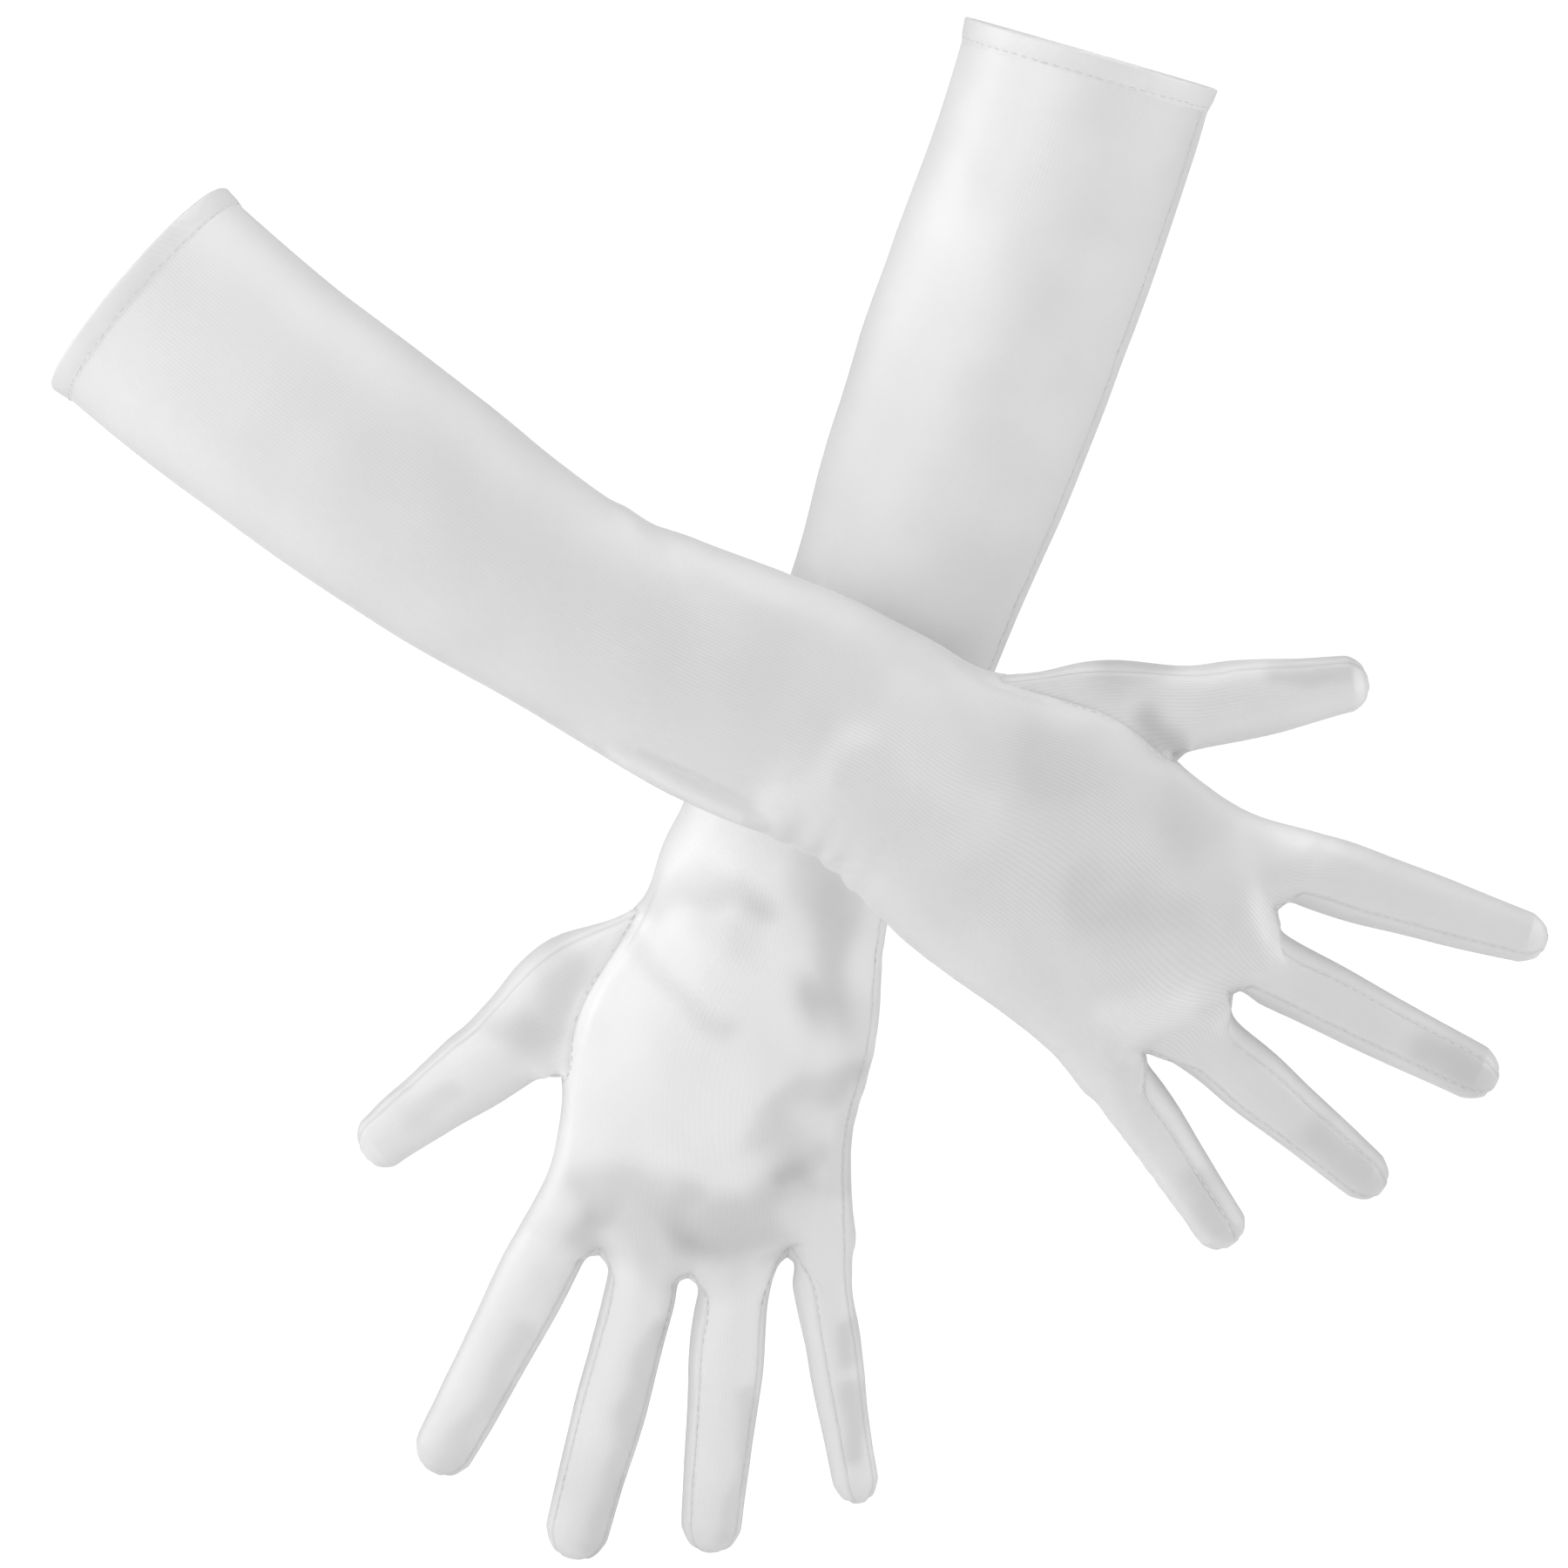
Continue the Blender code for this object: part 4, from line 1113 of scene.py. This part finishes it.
def seam_path(tree, skin, keys, closed=False, step=0.4):
    """Evenly spaced points and normals on the skin, along the cage points that the keys name."""
    line = np.array([skin.place.world(skin.cage.points[key]) for key in keys])
    if closed:
        line = np.vstack([line, line[:1]])
    lengths = np.concatenate([[0], np.cumsum(np.linalg.norm(np.diff(line, axis=0), axis=1))])
    curves = [curve_through(lengths, line[:, axis]) for axis in range(3)]
    samples = np.arange(0, lengths[-1], step * MM)
    path = []
    for at in samples:
        found, normal, _, _ = tree.find_nearest(Vector([curve(at) for curve in curves]))
        path.append((np.array(found), np.array(normal)))
    return path


# A stitch's rings: how far along it, how high over the cloth in millimetres (None is the
# stitch's own lift) and how wide as a share of its radius
STITCH_RINGS = [
    (0.0, -0.2, 0.5), (0.12, -0.02, 0.85), (0.5, None, 1.0), (0.88, -0.02, 0.85), (1.0, -0.2, 0.5),
]
STITCH_SIDES = 6


def along_path(path, lengths, at):
    """Spots and unit normals at the given lengths along a path."""
    spots, normals = (np.array(values) for values in zip(*path))
    middle = np.stack([np.interp(at, lengths, spots[:, k]) for k in range(3)], axis=1)
    up = np.stack([np.interp(at, lengths, normals[:, k]) for k in range(3)], axis=1)
    return middle, up / np.linalg.norm(up, axis=1)[:, None]


def stitches(name, paths, length=1.7, gap=0.8, radius=0.2, lift=0.08, offset=0.0):
    """Short threads lying along the paths, each dipping into the cloth at both ends."""
    points, faces = [], []
    shares = np.array([ring[0] for ring in STITCH_RINGS])
    for path in paths:
        spots = np.array([spot for spot, _ in path])
        lengths = np.concatenate([[0], np.cumsum(np.linalg.norm(np.diff(spots, axis=0), axis=1))]) / MM
        start = gap
        while start + length < lengths[-1]:
            middle, up = along_path(path, lengths, start + shares * length)
            forward = middle[-1] - middle[0]
            forward /= np.linalg.norm(forward)
            across = np.cross(forward, up)
            first = len(points)
            for spot, out, side, (_, height, width) in zip(middle, up, across, STITCH_RINGS):
                height = lift if height is None else height
                for turn in range(STITCH_SIDES):
                    angle = 2 * np.pi * turn / STITCH_SIDES
                    ring = side * math.cos(angle) + out * math.sin(angle)
                    points.append(spot + (out * height + side * offset + ring * width * radius) * MM)
            for row in range(len(STITCH_RINGS) - 1):
                for turn in range(STITCH_SIDES):
                    a = first + row * STITCH_SIDES + turn
                    b = first + row * STITCH_SIDES + (turn + 1) % STITCH_SIDES
                    faces.append((a, b, b + STITCH_SIDES, a + STITCH_SIDES))
            faces.append(tuple(range(first + STITCH_SIDES - 1, first - 1, -1)))
            faces.append(tuple(range(len(points) - STITCH_SIDES, len(points))))
            start += length + gap
    mesh = bpy.data.meshes.new(name)
    mesh.from_pydata([tuple(point) for point in points], [], faces)
    face_outward(mesh)
    mesh.shade_smooth()
    mesh.materials.append(THREAD)
    return new_object(name, mesh)


def build_stitching(skin):
    side, cage = skin.place.side, skin.cage
    tree = surface_tree(skin)

    def path(keys, closed=False):
        return seam_path(tree, skin, keys, closed)

    for number in range(LITTLE + 1):
        finger, last = cage.fingers[number], cage.last_ring(number)
        sides = ([0, 9] if number > 0 else []) + ([3, 6] if number < LITTLE else [])
        base = [path([cage.key(number, ring, s) for ring in range(1, 4)]) for s in sides]
        tip = [path([cage.key(number, ring, s) for ring in range(3, last)]) for s in sides]
        for part, paths in (("base", base), ("tip", tip)):
            obj = stitches(f"{side}_{finger.name}_{part}_stitches", paths)
            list(blend_ends(skin, f"{finger.name}_{part}", finger))
            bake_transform(obj)

    crotches = []
    for number in range(LITTLE):
        first, second = cage.finger_root(number)[3], cage.finger_root(number)[6]
        for root, near, far in ((first, 3, 0), (second, 6, 9)):
            crotches.append(path([(number, 1, near), root, (number + 1, 1, far)]))
    obj = stitches(f"{side}_gusset_stitches", crotches)
    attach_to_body(obj, f"{side}_hand")

    around_thumb = path(cage.finger_root("thumb"), closed=True)
    obj = stitches(f"{side}_thumb_seam_stitches", [around_thumb], offset=0.5)
    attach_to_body(obj, f"{side}_hand")
    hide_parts(f"{side}_thumb_seam")

    split = SLEEVE_RINGS - 1 - SLEEVE_SPLIT_RING
    last_row = SLEEVE_RINGS - 1 + KNUCKLE_RING
    for piece, rows in (("sleeve", range(split + 1)), ("hand", range(split, last_row + 1))):
        seam = path([cage.tube_key(row, cage.seam_column) for row in rows])
        obj = stitches(f"{side}_{piece}_seam_stitches", [seam])
        attach(obj, skin, piece)
        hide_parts(f"{side}_{piece}_seam")
    build_hem_stitches(skin)


def build_hem_stitches(skin):
    cage, place, side = skin.cage, skin.place, skin.place.side
    path = []
    for angle in np.linspace(0, 2 * np.pi, 500):
        spot = cage.sleeve_point(cage.length - HEM_STITCH_DOWN, angle)
        middle, _, _, _ = cage.sleeve_axes(cage.length - HEM_STITCH_DOWN)
        out = (spot - middle) / np.linalg.norm(spot - middle)
        path.append((place.world(spot + out * 0.16), out @ place.axes))
    obj = stitches(f"{side}_hem_stitches", [path], length=1.9, gap=1.0, radius=0.2)
    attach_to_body(obj, f"{side}_sleeve")
    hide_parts(f"{side}_hem_stitching")


# Stage

PICTURE_WIDTH = 393.0 * MM  # seen at the camera's distance from the pair
CAMERA_DISTANCE = 1.5
CAMERA_FROM_RIGHT_WRIST = np.array([-25.4, -1478.7, -7.4]) * MM


# Softboxes: where each stands from the pair's middle, its size in metres and its power
SOFTBOXES = [
    ("left_softbox", (-0.75, -1.4, 0.5), (1.4, 1.4), 12.0),
    ("side_softbox", (-1.5, -0.1, 0.5), (0.8, 1.2), 9.4),
    ("far_softbox", (1.5, -0.05, 0.3), (0.8, 1.2), 4.0),
    ("right_softbox", (1.4, -0.5, 0.4), (0.9, 1.2), 6.5),
    ("top_softbox", (0.2, -0.2, 1.3), (1.0, 0.7), 7.4),
]


def build_stage():
    white, tree, shader = new_material("pale_floor")
    shader.inputs["Base Color"].default_value = (0.80, 0.80, 0.80, 1)
    shader.inputs["Roughness"].default_value = 0.9
    shader.inputs["Specular IOR Level"].default_value = 0.1
    shader.inputs["Emission Color"].default_value = (1, 1, 1, 1)
    seen = node(tree, "ShaderNodeLightPath").outputs["Is Camera Ray"]
    glow = math_node(tree, "MULTIPLY_ADD", seen, 0.57, 0.18)
    tree.links.new(glow, shader.inputs["Emission Strength"])
    profile = [(-4.0, 0.0), (1.2, 0.0)]
    profile += [(1.2 + 0.8 * math.sin(a), 0.8 - 0.8 * math.cos(a)) for a in np.linspace(0.1, math.pi / 2, 12)]
    profile += [(2.0, 4.0)]
    points = [(x, y, z - 0.0005) for y, z in profile for x in (-5.0, 5.0)]
    faces = [(2 * i, 2 * i + 1, 2 * i + 3, 2 * i + 2) for i in range(len(profile) - 1)]
    mesh = bpy.data.meshes.new("floor_and_backdrop")
    mesh.from_pydata(points, [], faces)
    mesh.shade_smooth()
    mesh.materials.append(white)
    new_object("floor_and_backdrop", mesh)


def area_light(name, place, aim, size, power):
    data = bpy.data.lights.new(name, "AREA")
    data.shape = "RECTANGLE"
    data.size, data.size_y = size
    data.energy = power
    obj = new_object(name, data)
    obj.location = place
    obj.rotation_euler = (Vector(aim) - Vector(place)).to_track_quat("-Z", "Y").to_euler()
    return obj


def build_lights():
    middle = (CAD_BOX[0] + CAD_BOX[1]) / 2
    for name, way, size, power in SOFTBOXES:
        area_light(name, middle + Vector(way), middle, size, power)
    world = bpy.data.worlds.new("studio")
    bpy.context.scene.world = world
    world.use_nodes = True
    tree = world.node_tree
    background = tree.nodes["Background"]
    background.inputs["Color"].default_value = (1, 1, 1, 1)
    seen = node(tree, "ShaderNodeLightPath").outputs["Is Camera Ray"]
    strength = math_node(tree, "MULTIPLY_ADD", seen, 0.85, 0.04)
    tree.links.new(strength, background.inputs["Strength"])


def build_camera():
    data = bpy.data.cameras.new("camera")
    data.sensor_width = 36.0
    data.lens = 36.0 * CAMERA_DISTANCE / PICTURE_WIDTH
    obj = new_object("camera", data)
    obj.location = Place("right").origin + CAMERA_FROM_RIGHT_WRIST
    obj.rotation_euler = (math.radians(90), 0, 0)
    bpy.context.scene.camera = obj


for glove_side in ("right", "left"):
    glove = build_skin(glove_side)
    build_hem(glove)
    build_stitching(glove)
build_stage()
build_lights()
build_camera()
bpy.context.scene.view_settings.view_transform = "Standard"
